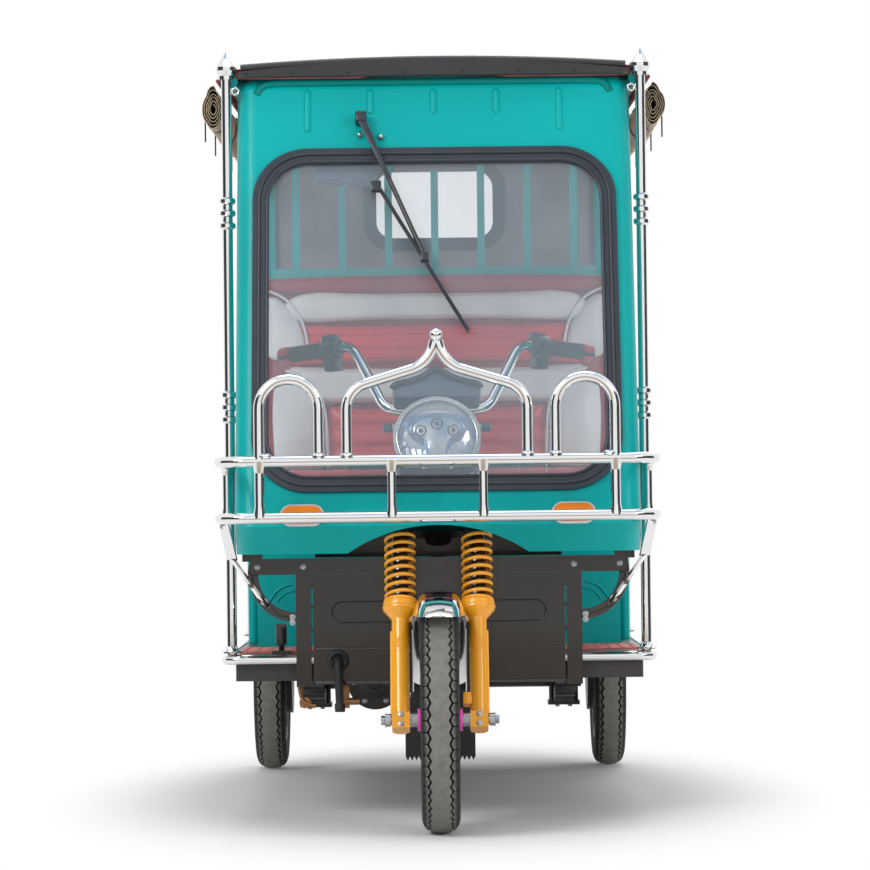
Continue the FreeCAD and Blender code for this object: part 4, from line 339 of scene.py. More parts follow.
NODE_FINISH = (
    (pink, "axle_spacer_discs"),
    (battery_plastic, "battery_block"),
    (teal, "cabin_frame front_seat_box front_shell partition_grid quarter_panels rear_seat_box"),
    (frame_black, "chassis_frame drive_motor driver_controls floor_panel leaf_springs rear_axle tow_eye wiper"),
    (seat_red, "driver_backrest driver_cushion passenger_backrests passenger_cushions"),
    (chrome, "floor_edge_rail front_fender front_guard front_posts handlebar passenger_rails rear_bumper "
             "rear_mudguards"),
    (mat_rubber, "floor_mat"),
    # Darkened chrome on the fork tubes: painted shade inside the springs.
    (shade_darkened_chrome, "fork_crown_and_tubes"),
    (gold, "fork_legs fork_springs"),
    (bright_steel, "front_axle"),
    (black_gloss, "front_frame leg_shield"),
    (rim_silver, "front_rim rear_left_rim rear_right_rim"),
    (tyre_rubber, "front_tyre rear_left_tyre rear_right_tyre"),
    (grip_rubber, "grips_and_levers"),
    (lamp_plastic, "headlight_housing"),
    (lens, "headlight_lens"),
    (cluster_plastic, "instrument_cluster"),
    (black_rubber, "mudflap"),
    (rear_cloth, "rear_wall"),
    (gasket_rubber, "rear_window_gasket windshield_gasket"),
    (glass, "rear_window_glass windshield_glass"),
    (band_vinyl, "roof_front_band"),
    (roof_cloth, "roof_skin"),
    (curtain_cloth, "side_curtains"),
    (lens_red, "tail_lamps"),
    (amber, "turn_signals"),
)
for finish, dressed in NODE_FINISH:
    for name in dressed.split():
        mesh = nodes[name].data
        mesh.materials.clear()
        mesh.materials.append(finish)


# Working by hand


def only(piece):
    """Select one piece and make it active."""
    bpy.ops.object.select_all(action="DESELECT")
    piece.select_set(True)
    bpy.context.view_layer.objects.active = piece


def start_edit(piece, mode="FACE"):
    """Enter edit mode with the whole piece selected."""
    only(piece)
    bpy.ops.object.mode_set(mode="EDIT")
    bpy.ops.mesh.select_mode(type=mode)
    bpy.ops.mesh.select_all(action="SELECT")


def end_edit():
    bpy.ops.object.mode_set(mode="OBJECT")


def settle():
    """Write the active piece's place, turn and size into its mesh."""
    bpy.ops.object.transform_apply(location=True, rotation=True, scale=True)


def eased(offset, segments, **kind):
    """Round every edge of what is selected."""
    bpy.ops.mesh.bevel(offset=offset, segments=segments, affect="EDGES", **kind)


def pushed(move):
    """Extrude what is selected by a vector."""
    bpy.ops.mesh.extrude_region_move(TRANSFORM_OT_translate={"value": move})


def outward():
    """Turn every face of what is selected outward."""
    bpy.ops.mesh.normals_make_consistent(inside=False)


def choose(piece, test):
    """Select only the faces of the piece in edit mode that pass a test."""
    bpy.ops.mesh.select_all(action="DESELECT")
    shape = bmesh.from_edit_mesh(piece.data)
    for face in shape.faces:
        if test(face):
            face.select_set(True)
    shape.select_flush_mode()
    bmesh.update_edit_mesh(piece.data)


def finished_with(piece, kind, **values):
    """Put one modifier on a piece and apply it."""
    only(piece)
    step = piece.modifiers.new(kind.title(), kind)
    for key, value in values.items():
        setattr(step, key, value)
    bpy.ops.object.modifier_apply(modifier=step.name)


def done(piece, name, finish, smooth=35, instead=(), body="chassis"):
    """Join a list of pieces, settle their place into the mesh, finish it and let it ride on its body."""
    if isinstance(piece, list):
        piece = joined(piece)
    only(piece)
    settle()
    piece.name = name
    piece.data.name = name
    piece.data.materials.clear()
    piece.data.materials.append(finish)
    only(piece)
    bpy.ops.object.shade_smooth_by_angle(angle=math.radians(smooth))
    if instead:
        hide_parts(*instead)
    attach(piece, body)
    return piece


def drawn(points, filled=False):
    """A line drawn point by point: one vertex, extruded to each next place, and filled if it is an outline."""
    bpy.ops.mesh.primitive_plane_add(size=0.01, location=(0, 0, 0))
    piece = bpy.context.object
    start_edit(piece, "VERT")
    bpy.ops.mesh.merge(type="CENTER")
    bpy.ops.transform.translate(value=points[0])
    for before, after in zip(points, points[1:]):
        step = [b - a for a, b in zip(before, after)]
        bpy.ops.mesh.extrude_vertices_move(TRANSFORM_OT_translate={"value": step})
    if filled:
        bpy.ops.mesh.select_all(action="SELECT")
        bpy.ops.mesh.edge_face_add()
    end_edit()
    return piece


def rounded(low, high, corner, steps=6):
    """A rounded rectangle's outline between two corners, counterclockwise from the lower left."""
    points = []
    spots = ((low[0], low[1], -1, -1), (high[0], low[1], 1, -1), (high[0], high[1], 1, 1), (low[0], high[1], -1, 1))
    for turn, (a, b, side, rise) in enumerate(spots):
        for step in range(steps + 1):
            angle = math.radians(180 + 90 * turn + 90 * step / steps)
            points.append((a - side * corner + corner * math.cos(angle),
                           b - rise * corner + corner * math.sin(angle)))
    return points


def around(count, start=0.0):
    """Angles spread evenly round a circle."""
    return [start + 2 * math.pi * i / count for i in range(count)]


def stadium(x, out, z, flat, radius, count):
    """Two half circles joined by straight lines, in X and Z."""
    return [(x + math.copysign(flat, math.cos(a)) + radius * math.cos(a), out, z + radius * math.sin(a))
            for a in around(count)]


def edging(points, wire, sides=8):
    """A closed line of wire through every point."""
    return bent_tube(points, wire, smooth_line=False, sides=sides, closed=True)


def both(*places):
    """Each place on the left, then each mirrored on the right."""
    return [(side * x, y, z) for side in (1, -1) for x, y, z in places]


def mirrored(half):
    """An outline in X and Z: its half, then the mirror image run backward, less the points on the middle."""
    return half + [(-x, z) for x, z in reversed(half) if x]


def both_hands(make):
    """The same piece made for each side, joined."""
    return joined([make(1), make(-1)])


def each(profile, places, axis, steps):
    """The same turned piece at each place."""
    return [turned(profile, place, axis, steps) for place in places]


def pointed(place, axis):
    """The matrix that lays a piece made along X along another axis, in its place."""
    turn = Vector((1, 0, 0)).rotation_difference(Vector(axis)).to_matrix().to_4x4()
    return Matrix.Translation(place) @ turn


def placed(piece, place):
    """A piece with its mesh carried by a matrix."""
    piece.data.transform(place)
    return piece


HANDS = ((1, "left"), (-1, "right"))
ALONG = {"X": (1, 0, 0), "Y": (0, 1, 0), "Z": (0, 0, 1)}
WELD = 0.00002


def turned(points, place=(0, 0, 0), axis="X", steps=48):
    """A round piece spun from (along, radius) points about an axis through a place."""
    piece = drawn([(along, 0, radius) for along, radius in points])
    start_edit(piece, "VERT")
    bpy.ops.mesh.spin(steps=steps, angle=2 * math.pi, center=(0, 0, 0), axis=(1, 0, 0))
    bpy.ops.mesh.select_all(action="SELECT")
    bpy.ops.mesh.remove_doubles(threshold=WELD)
    outward()
    end_edit()
    return placed(piece, pointed(place, ALONG.get(axis, axis)))


def ring(radius, wire, place, axis, steps, sides):
    """A round ring of wire about an axis."""
    loop = [(wire * math.sin(2 * math.pi * i / sides), radius + wire * math.cos(2 * math.pi * i / sides))
            for i in range(sides + 1)]
    return turned(loop, place, axis, steps)


def block(low, high, ease, steps=2):
    """A box between two corners, with its edges rounded."""
    bpy.ops.mesh.primitive_cube_add(size=1, location=[(a + b) / 2 for a, b in zip(low, high)])
    piece = bpy.context.object
    piece.scale = [b - a for a, b in zip(low, high)]
    settle()
    start_edit(piece)
    eased(ease, steps)
    end_edit()
    return piece


def plate(points, depth, ease):
    """A plate: an outline filled and extruded by a vector, with its edges rounded."""
    piece = drawn(points, filled=True)
    start_edit(piece)
    pushed(depth)
    bpy.ops.mesh.select_all(action="SELECT")
    outward()
    eased(ease, 2, clamp_overlap=True)
    end_edit()
    return piece


def copied(piece, places):
    """The piece once at each place given as a matrix, each copy with its own mesh, all joined."""
    copies = []
    for place in places:
        copy = piece.copy()
        copy.data = piece.data.copy()
        bpy.context.scene.collection.objects.link(copy)
        copy.data.transform(place)
        copies.append(copy)
    bpy.data.objects.remove(piece)
    return joined(copies)


def bolts(name, places, size, body="chassis"):
    """Hexagon bolt heads on washers, one at each (place, axis)."""
    bpy.ops.mesh.primitive_cylinder_add(vertices=6, radius=size, depth=size * 0.8,
                                        location=(size * 0.4 + 0.001, 0, 0), rotation=(0, math.radians(90), 0))
    head = bpy.context.object
    settle()
    start_edit(head)
    eased(size * 0.12, 1)
    end_edit()
    washer = turned([(0, 0), (0, size * 1.5), (0.0009, size * 1.5), (0.0012, size * 1.35), (0.0012, 0)], steps=20)
    heads = copied(joined([head, washer]), [pointed(place, axis) for place, axis in places])
    return done(heads, name, bright_steel, 30, body=body)


def joined(pieces):
    bpy.ops.object.select_all(action="DESELECT")
    for piece in pieces:
        piece.select_set(True)
    bpy.context.view_layer.objects.active = pieces[0]
    bpy.ops.object.join()
    return pieces[0]


def bent_tube(points, radius, smooth_line=True, sides=10, closed=False):
    """A tube along a smooth line through or near the points."""
    data = bpy.data.curves.new("Tube", "CURVE")
    data.dimensions = "3D"
    data.bevel_depth = radius
    data.bevel_resolution = sides // 4
    data.use_fill_caps = not closed
    line = data.splines.new("NURBS" if smooth_line else "POLY")
    line.points.add(len(points) - 1)
    for spot, point in zip(line.points, points):
        spot.co = (*point, 1)
    if closed:
        line.use_cyclic_u = True
    if smooth_line:
        line.use_endpoint_u = not closed
        line.order_u = 3
        data.resolution_u = 6
    curve = bpy.data.objects.new("Tube", data)
    bpy.context.scene.collection.objects.link(curve)
    only(curve)
    bpy.ops.object.convert(target="MESH")
    return bpy.context.view_layer.objects.active


# Where the fork and the screen stand

front_axle = Vector((0, -1.1215, 0.2285))
FORK = Matrix.Translation(front_axle) @ Matrix.Rotation(math.radians(-21), 4, "X")
SCREEN = Matrix.Translation((0, -1.0655, 0.622)) @ Matrix.Rotation(math.radians(-18.1), 4, "X")


# Tyres with zigzag grooves and sipes

TREAD = [(-0.0335, 0.164), (-0.035, 0.176), (-0.039, 0.19), (-0.0388, 0.202), (-0.0356, 0.212),
         (-0.032, 0.2176), (-0.0244, 0.2222), (-0.0234, 0.215), (-0.0204, 0.215), (-0.0192, 0.2256),
         (-0.01, 0.2279), (0.0, 0.2284), (0.01, 0.2279), (0.0192, 0.2256),
         (0.0204, 0.215), (0.0234, 0.215), (0.0244, 0.2222), (0.032, 0.2176), (0.0356, 0.212),
         (0.0388, 0.202), (0.039, 0.19), (0.035, 0.176), (0.0335, 0.164)]
LUG_DEGREES = (0.0, 0.14, 0.66, 0.8, 3.0, 3.14, 3.66, 3.8)
LUG_PITCH = 6.0
LUG_STEPS = len(LUG_DEGREES)
TREAD_STEPS = int(360 / LUG_PITCH) * LUG_STEPS


def tyre(name, centre, body, node):
    """A ribbed road tyre: a broad middle rib between zigzag grooves, and side blocks cut by a sipe every 24 mm."""
    piece = turned(TREAD + [(0.03, 0.156), (0.0, 0.1545), (-0.03, 0.156), TREAD[0]], steps=TREAD_STEPS)
    dust = piece.data.attributes.new("dust", "FLOAT", "POINT")
    for index, spot in enumerate(piece.data.vertices):
        across = spot.co.x
        radius = math.hypot(spot.co.y, spot.co.z)
        step = round(math.degrees(math.atan2(spot.co.z, spot.co.y)) % 360 * TREAD_STEPS / 360) % TREAD_STEPS
        phase = step % LUG_STEPS
        turn = step // LUG_STEPS * LUG_PITCH + LUG_DEGREES[phase]
        worn = min(1.0, max(0.0, (radius - 0.217) / 0.005))
        if radius > 0.21 and abs(across) < 0.034:
            if 0.015 < abs(across) < 0.028:
                spot.co.x = across + (0.0022 if phase < 4 else -0.0022)
            cut = (1, 2) if across > 0 else (5, 6)
            if phase in cut and abs(across) > 0.024:
                radius -= 0.006
                worn = 0.0
        elif radius > 0.199:
            worn = 0.12
        dust.data[index].value = worn
        spot.co.y = radius * math.cos(math.radians(turn))
        spot.co.z = radius * math.sin(math.radians(turn))
    piece.data.transform(Matrix.Translation(centre))
    return done(piece, name, tyre_rubber, 28, (node,), body)


tyre("front_tread_tyre", front_axle, "front_wheel", "front_tyre")
tyre("rear_left_tread_tyre", Vector((0.427, 0.9285, 0.2285)), "rear_wheel_left", "rear_left_tyre")
tyre("rear_right_tread_tyre", Vector((-0.427, 0.9285, 0.2285)), "rear_wheel_right", "rear_right_tyre")


# Fork, lamp and handlebar details, drawn in the fork's own place and then leaned with it

LEG_SIDE = 0.079
COIL_RADIUS = 0.0292


def on_fork(piece, name, finish, smooth=35, instead=()):
    return done(placed(piece, FORK), name, finish, smooth, instead, "steering")


def fork_spring(side):
    low, high, turns, per_turn = 0.2555, 0.3955, 8, 24
    points = []
    for step in range(turns * per_turn + 1):
        angle = 2 * math.pi * step / per_turn
        rise = low + (high - low) * step / (turns * per_turn)
        points.append((side * LEG_SIDE + COIL_RADIUS * math.cos(angle), COIL_RADIUS * math.sin(angle), rise))
    return bent_tube(points, 0.0038, smooth_line=False, sides=12)


on_fork(both_hands(fork_spring), "coil_springs", gold, 60, ("fork_springs",))


def cup_rings(side):
    return joined([ring(radius, thick, (side * LEG_SIDE, 0, height), "Z", 48, sides)
                   for radius, thick, height, sides in ((0.03, 0.0042, 0.2545, 10), (0.0318, 0.004, 0.2475, 10),
                                                        (0.034, 0.003, 0.24, 8))])


def leg_bands(side):
    """A fine-ribbed band on the lower leg between two raised rings."""
    profile = [(0.144, 0.0178), (0.145, 0.0192), (0.1485, 0.0192), (0.1495, 0.0184)]
    for rib in range(7):
        foot = 0.1505 + rib * 0.0026
        profile += [(foot, 0.0184), (foot + 0.0008, 0.0188), (foot + 0.0018, 0.0184)]
    profile += [(0.1695, 0.0184), (0.1705, 0.0192), (0.174, 0.0192), (0.175, 0.0178)]
    return turned(profile, (side * LEG_SIDE, 0, 0), "Z", 48)


on_fork(both_hands(cup_rings), "spring_cup_rings", gold, 60)
on_fork(both_hands(leg_bands), "fork_leg_bands", gold, 30)
on_fork(block((0.047, -0.013, 0.029), (0.064, 0.013, 0.055), 0.0025), "brake_anchor_block", gold)
for name, x, height, facing, size in (("fender_lug_bolts", 0.0515, 0.216, -1, 0.0055),
                                      ("axle_nuts", 0.1105, 0, 1, 0.01)):
    bolts(name, [(FORK @ Vector((side * x, 0, height)), (side * facing, 0, 0)) for side in (1, -1)], size, "steering")
fork_screws = [(FORK @ Vector(place), FORK.to_3x3() @ Vector((0, -1, 0)))
               for place in both((LEG_SIDE, -0.0262, -0.016), (LEG_SIDE, -0.0262, 0.004))]
bolts("fork_clamp_screws", fork_screws, 0.0038, "steering")


# Headlight: reflector, shaped inner mirror, three lamps, lens facets and bezel

LAMP_MIDDLE = 0.5955
LAMP_FACE = -0.052


def lamp_outline(radius, flat, back, steps=40):
    """The lamp's round outline, cut flat below."""
    reach = math.acos((flat - LAMP_MIDDLE) / radius)
    angles = [-reach + 2 * reach * i / steps for i in range(steps + 1)]
    return [(radius * math.sin(angle), back, LAMP_MIDDLE + radius * math.cos(angle)) for angle in angles]


def reflector_bowl():
    """A dished mirror, inset and pushed back ring by ring."""
    bowl = drawn(lamp_outline(0.08, 0.5485, LAMP_FACE + 0.0055), filled=True)
    start_edit(bowl)
    for shrink, deeper in ((0.94, 0.006), (0.9, 0.005), (0.86, 0.003), (0.72, 0.002), (0.5, 0.001)):
        pushed((0, deeper, 0))
        bpy.ops.transform.resize(value=(shrink, 1, shrink), center_override=(0, 0, LAMP_MIDDLE))
    choose(bowl, lambda face: len(face.verts) > 4 and face.calc_center_median().y < LAMP_FACE + 0.006)
    bpy.ops.mesh.delete(type="FACE")
    end_edit()
    return bowl


def inner_mirror():
    """The shaped mirror round the three lamps: a broad cap on a narrow stem."""
    half = [(0.0, 0.056), (0.021, 0.055), (0.038, 0.05), (0.05, 0.04), (0.054, 0.0245), (0.046, 0.008),
            (0.033, 0.003), (0.025, -0.003), (0.0215, -0.02), (0.02, -0.04)]
    edge, face = ([(x, LAMP_FACE + out, LAMP_MIDDLE + z) for x, z in mirrored(half)] for out in (0.0085, 0.0125))
    on_fork(plate(face, (0, 0.004, 0), 0.001), "headlight_inner_mirror", lamp_mirror, 30)
    on_fork(bent_tube(edge, 0.0019, sides=8, closed=True), "headlight_mirror_edge", blue_mirror, 60)


def small_lamp(x, z, radius):
    """A dished ring with a domed bulb in it."""
    dish = ((0.003, 0.3), (0.003, 0.62), (-0.0005, 0.92), (-0.002, 1), (-0.0005, 1.08), (0.004, 1.08))
    bulb = ((-0.0062, 0.0), (-0.0058, 0.2), (-0.004, 0.36), (0.0, 0.42), (0.003, 0.42))
    return joined([turned([(along, radius * share) for along, share in profile],
                          (x, LAMP_FACE + 0.0115, LAMP_MIDDLE + z), "Y", steps)
                   for profile, steps in ((dish, 40), (bulb, 32))])


def facet(x, z, width, tall, tilt):
    """One sloped mirror strip at the lamp's foot."""
    strip = block((x - width / 2, LAMP_FACE + 0.0085, z), (x + width / 2, LAMP_FACE + 0.014, z + tall), 0.0012, 1)
    middle = Vector((x, LAMP_FACE + 0.011, z + tall / 2))
    turn = Matrix.Rotation(math.radians(tilt), 4, "Z") @ Matrix.Rotation(math.radians(tilt * 0.6), 4, "Y")
    return placed(strip, Matrix.Translation(middle) @ turn @ Matrix.Translation(-middle))


on_fork(reflector_bowl(), "headlight_reflector", lamp_mirror, 25)
inner_mirror()
on_fork(joined([small_lamp(*spot) for spot in ((-0.0335, 0.0195, 0.0115), (0.0, 0.0345, 0.012),
                                               (0.034, 0.0195, 0.0115))]),
        "headlight_lamps", shade_darkened_chrome, 40)
facets = [facet(-0.06 + 0.012 * column, 0.551 + 0.0015 * abs(column - 5), 0.0105, 0.017, (column - 5) * 5)
          for column in range(11)]
facets += [facet(side * (0.06 + 0.006 * row), 0.566 + 0.013 * row, 0.008, 0.011, side * 24)
           for side in (1, -1) for row in (0, 1)]
on_fork(joined(facets), "headlight_facets", lamp_mirror, 15)
on_fork(edging(lamp_outline(0.0832, 0.545, LAMP_FACE - 0.0008, 48), 0.0022), "headlight_bezel_edge",
        chrome, 60)
on_fork(edging(lamp_outline(0.088, 0.5405, LAMP_FACE + 0.0012, 48), 0.003), "headlight_bezel_rim",
        lamp_plastic, 60)


def side_knob(side):
    points = [(0.093, 0.0), (0.093, 0.0086), (0.096, 0.0098), (0.106, 0.0098), (0.111, 0.0088), (0.1128, 0.006),
              (0.1132, 0.0)]
    return turned([(side * along, radius) for along, radius in points], (0, -0.014, 0.632), "X", 32)


on_fork(both_hands(side_knob), "headlight_side_knobs", stub_plastic)


# Instrument pod with its dark brow and its dials

POD_FRONT = -0.048
POD_BACK = 0.011
pod_side = [(0.09, 0.687), (0.092, 0.71), (0.0905, 0.718), (0.06, 0.724), (0.033, 0.733), (0.014, 0.746),
            (0.0, 0.753)]
pod_line = mirrored(pod_side)
pod = plate([(x, POD_FRONT, z) for x, z in pod_line], (0, POD_BACK - POD_FRONT, 0), 0.003)
on_fork(pod, "instrument_pod", cluster_plastic, 30, ("instrument_cluster",))
brow_line = [(x * 0.995, POD_FRONT - 0.004, z - 0.0035) for x, z in pod_line]
on_fork(bent_tube(brow_line[1:-1], 0.0062, sides=12), "instrument_brow", dark_plastic, 60)
dial_lean = Matrix.Translation((0, POD_BACK + 0.0005, 0.717)) @ Matrix.Rotation(math.radians(-14), 4, "X")


def dial(radius):
    return turned([(-0.004, radius * 0.98), (0.004, radius * 1.1), (0.0062, radius * 1.06), (0.005, radius * 0.96),
                   (-0.002, radius * 0.93)], axis="Y", steps=56)


def dial_ticks(radius, count):
    """Short marks and a pointer, from lower left over the top to lower right."""
    ticks = []
    for mark in range(count):
        angle = math.radians(-130 + 260 * mark / (count - 1))
        tick = block((-0.0004, 0.0012, radius * (0.7 if mark % 2 == 0 else 0.78)), (0.0004, 0.0018, radius * 0.88),
                     0.0001, 1)
        ticks.append(placed(tick, Matrix.Rotation(angle, 4, "Y")))
    pointer = block((-0.0007, 0.0022, -radius * 0.15), (0.0007, 0.003, radius * 0.7), 0.0003, 1)
    return joined(ticks + [placed(pointer, Matrix.Rotation(math.radians(-118), 4, "Y"))])


dial_face = turned([(-0.001, 0.0), (0.001, 0.0), (0.001, 0.0262), (-0.001, 0.0262)], axis="Y")
on_fork(placed(dial_face, dial_lean), "speed_dial_face", dial_paper)
on_fork(placed(dial(0.027), dial_lean), "speed_dial_rim", chrome)
on_fork(placed(dial_ticks(0.0262, 21), dial_lean), "speed_dial_marks", dark_plastic)
warning = each([(0.0, 0.0), (0.0, 0.0052), (0.0022, 0.0048), (0.0032, 0.0024), (0.0034, 0.0)],
               both((0.048, 0.0005, 0.004), (0.066, 0.0005, -0.004)), "Y", 24)
on_fork(placed(joined(warning), dial_lean), "warning_lamps", amber)


# Handlebar: grips, red end collars, switch pods and clamp bolts

BAR_END = Vector((0.333, -0.6465, 0.985))
BAR_SHOULDER = Vector((0.178, -0.7365, 1.003))


def along_bar(side):
    """A place on the bar's straight end: X runs inward from the tip, Z stands up from the bar."""
    tip = Vector((side * BAR_END.x, BAR_END.y, BAR_END.z))
    inward = Vector((side * BAR_SHOULDER.x, BAR_SHOULDER.y, BAR_SHOULDER.z)) - tip
    inward.normalize()
    across = Vector((0, 0, 1)).cross(inward).normalized()
    upward = inward.cross(across)
    frame_of_bar = Matrix((inward, across, upward)).transposed().to_4x4()
    return Matrix.Translation(tip) @ frame_of_bar


def on_bar(side, piece):
    return placed(piece, along_bar(side))


def grip_sleeve(side):
    """A moulded grip: fine ribs, a waist and a raised inner flange."""
    profile = [(0.028, 0.016)]
    for rib in range(18):
        foot = 0.03 + rib * 0.004
        profile += [(foot, 0.0162), (foot + 0.001, 0.0172), (foot + 0.0026, 0.0172), (foot + 0.0036, 0.0162)]
    profile += [(0.1045, 0.0165), (0.1055, 0.0192), (0.109, 0.0192), (0.11, 0.0165)]
    return on_bar(side, turned(profile, steps=36))


def end_collar(side):
    points = [(-0.001, 0.0), (-0.0012, 0.011), (0.001, 0.016), (0.004, 0.0184), (0.024, 0.018), (0.0275, 0.0172),
              (0.0285, 0.016)]
    return on_bar(side, turned(points, steps=36))


def switch_pod(side):
    """The switch housing round the bar, with its block hanging below and its buttons behind."""
    body = turned([(0.111, 0.015), (0.1115, 0.0222), (0.114, 0.0238), (0.146, 0.0232), (0.149, 0.0205),
                   (0.15, 0.015)], steps=36)
    hanging = block((0.113, -0.015, -0.048), (0.144, 0.016, -0.01), 0.004, 3)
    brow = block((0.116, -0.02, 0.012), (0.15, 0.002, 0.029), 0.0045, 3)
    return on_bar(side, joined([body, hanging, brow]))


def switch_buttons(side):
    near, far = (-0.0275, -0.0215) if side > 0 else (0.0215, 0.0275)
    return on_bar(side, joined([block((0.117, near, level), (0.126, far, level + 0.007), 0.0015)
                                for level in (-0.01, 0.001, 0.012)]))


for make, name, slot, finish, smooth in ((grip_sleeve, "grip_sleeves", "cluster_plastic", grip_rubber, 25),
                                         (end_collar, "grip_end_collars", "cluster_plastic", grip_red, 50),
                                         (switch_pod, "switch_pods", "cluster_plastic", dark_plastic, 35),
                                         (switch_buttons, "switch_buttons", "orange_plastic", grip_red, 35)):
    done(both_hands(make), name, finish, smooth, body="steering")
bolts("bar_clamp_bolts", [(place, (0, 0, 1)) for place in both((0.022, -0.842, 0.879), (0.022, -0.825, 0.879))],
      0.0045, "steering")


# Front shell: rolled top edge, gasket strip, signals, wiper and what shows behind the glass


def on_screen(piece, name, finish, smooth=35):
    return done(placed(piece, SCREEN), name, finish, smooth)


# The shell's rolled top edge is in the darker teal: painted shade of the roof band's shadow.
roll_end = [(0.374, 0.003, 0.962), (0.366, 0.001, 0.98), (0.348, 0.0005, 0.9868), (0.3, 0.0005, 0.9875)]
top_roll = bent_tube([(-x, y, z) for x, y, z in roll_end] + roll_end[::-1], 0.0085, sides=12)
on_screen(top_roll, "shell_top_roll", teal_painted_shade, 60)
for name, corners, corner, out, wire_size, finish in (
        ("gasket_lock_strip", ((-0.367, 0.085), (0.367, 0.819)), 0.102, -0.0085, 0.0036, dark_plastic),
        ("gasket_inner_lip", ((-0.35, 0.102), (0.35, 0.802)), 0.086, -0.0075, 0.0042, gasket_rubber)):
    loop = [(x, out, z) for x, z in rounded(*corners, corner, 8)]
    on_screen(edging(loop, wire_size, 10), name, finish, 60)


SIGNAL_X = 0.277


def signal_bezel(side):
    return edging(stadium(side * SIGNAL_X, -0.004, 0.022, 0.022, 0.0205, 40), 0.0034)


def signal_ribs(side):
    """Upright ribs across the lens, the outer two shorter."""
    ribs = []
    for rib in range(9):
        x = side * SIGNAL_X - 0.03 + 0.0075 * rib
        short = 0.004 if rib in (0, 8) else 0
        ribs.append(block((x, -0.0158, 0.01 + short), (x + 0.0025, -0.014, 0.034 - short), 0.0006, 1))
    return joined(ribs)


on_screen(both_hands(signal_bezel), "signal_bezels", lamp_plastic, 60)
on_screen(both_hands(signal_ribs), "signal_lens_ribs", amber, 30)

wiper = [block((-0.165, -0.031, 0.885), (-0.141, -0.001, 0.9095), 0.004, 3),
         plate([(x, -0.0285, z) for x, z in ((-0.1615, 0.893), (-0.1455, 0.899), (-0.0905, 0.756), (-0.0985, 0.753))],
               (0, 0.0085, 0), 0.0015),
         block((-0.133, -0.026, 0.728), (-0.111, -0.011, 0.752), 0.0025),
         block((-0.03, -0.029, 0.569), (-0.013, -0.011, 0.589), 0.0025)]
blade_top = Vector((-0.121, -0.0185, 0.748))
blade_foot = Vector((0.067, -0.0185, 0.416))
arch = Vector((0, -0.006, 0))
for share, reach in ((0.14, 0.05), (0.38, 0.06), (0.62, 0.06), (0.86, 0.05)):
    middle = blade_top.lerp(blade_foot, share)
    run = (blade_foot - blade_top).normalized() * reach
    wiper.append(bent_tube([middle - run, middle - run * 0.5 + arch, middle + run * 0.5 + arch, middle + run],
                           0.0026, sides=8))
on_screen(joined(wiper), "wiper_arm_cover", dark_plastic)
studs = each([(-0.01, 0.0), (-0.0096, 0.003), (-0.007, 0.0056), (-0.003, 0.0062), (0.001, 0.0062)],
             [(x, -0.002, z) for x, z in ((-0.156, 0.864), (-0.111, 0.859))], "Y", 24)
on_screen(joined(studs), "wiper_plate_studs", bright_steel, 40)
motor_case = turned([(-0.03, 0.0), (-0.03, 0.02), (-0.026, 0.0235), (0.018, 0.0235), (0.024, 0.018), (0.03, 0.01),
                     (0.036, 0.0)], (-0.156, 0.05, 0.793), "X", 40)
motor_box = block((-0.252, 0.026, 0.776), (-0.19, 0.066, 0.809), 0.004, 3)
motor_bracket = block((-0.2, 0.03, 0.77), (-0.17, 0.036, 0.86), 0.002)
on_screen(joined([motor_case, motor_box, motor_bracket]), "wiper_motor", cluster_plastic)
on_screen(block((-0.085, 0.024, 0.804), (0.085, 0.05, 0.814), 0.003), "sun_visor_rail",
          frame_black)


# Leg shield: creases, grommet, rod, corner braces and a dark plate of painted shade behind the fork

SHIELD_FACE = -0.832
shield_parts = [block((-0.26, SHIELD_FACE - 0.003, 0.362), (0.26, SHIELD_FACE + 0.0004, 0.3655), 0.0014),
                block((-0.261, SHIELD_FACE - 0.009, 0.29), (0.261, SHIELD_FACE + 0.001, 0.2965), 0.0024)]
for side in (1, -1):
    shield_parts.append(edging(stadium(side * 0.15, SHIELD_FACE - 0.0002, 0.44, 0.052, 0.022, 32), 0.0014))
    for tie in (0.405, 0.452, 0.495):
        shield_parts.append(block((side * 0.2655 - 0.003, SHIELD_FACE - 0.0004, tie - 0.004),
                                  (side * 0.2655 + 0.003, SHIELD_FACE + 0.0026, tie + 0.004), 0.0008, 1))
done(shield_parts, "leg_shield_creases", black_gloss)
grommet = turned([(-0.006, 0.015), (-0.0075, 0.0165), (-0.007, 0.02), (-0.0045, 0.0228), (0.0, 0.0235),
                  (0.0, 0.015)], (-0.213, SHIELD_FACE, 0.339), "Y", 48)
done(grommet, "shield_grommet", black_rubber, 50)
boot = turned([(0.0, 0.0), (0.0, 0.014), (0.01, 0.014), (0.01, 0.0)], (-0.213, SHIELD_FACE + 0.0035, 0.339), "Y", 32)
done(boot, "shield_hole_boot", black_rubber)
rod_line = [(-0.213, -0.827, 0.342), (-0.213, -0.84, 0.34), (-0.2125, -0.853, 0.33), (-0.2115, -0.857, 0.31),
            (-0.21, -0.857, 0.27), (-0.209, -0.857, 0.242)]
rod_boot = turned([(0.233, 0.0), (0.233, 0.0105), (0.248, 0.0115), (0.252, 0.0085)], (-0.209, -0.857, 0), "Z", 24)
done([bent_tube(rod_line, 0.0085, sides=16), rod_boot], "brake_pedal_rod", black_rubber, 50)


def quarter_brace(side):
    """A flat bar bent through a quarter circle under the beam's end."""
    outer = [(0.1, math.pi / 2 * i / 20) for i in range(21)]
    inner = [(0.079, a) for _, a in reversed(outer)]
    outline = [(side * (0.2995 + radius * math.cos(a)), -0.8318, 0.5205 - radius * math.sin(a))
               for radius, a in outer + inner]
    return plate(outline, (0, 0.006, 0), 0.001)


done(both_hands(quarter_brace), "front_quarter_braces", black_gloss)
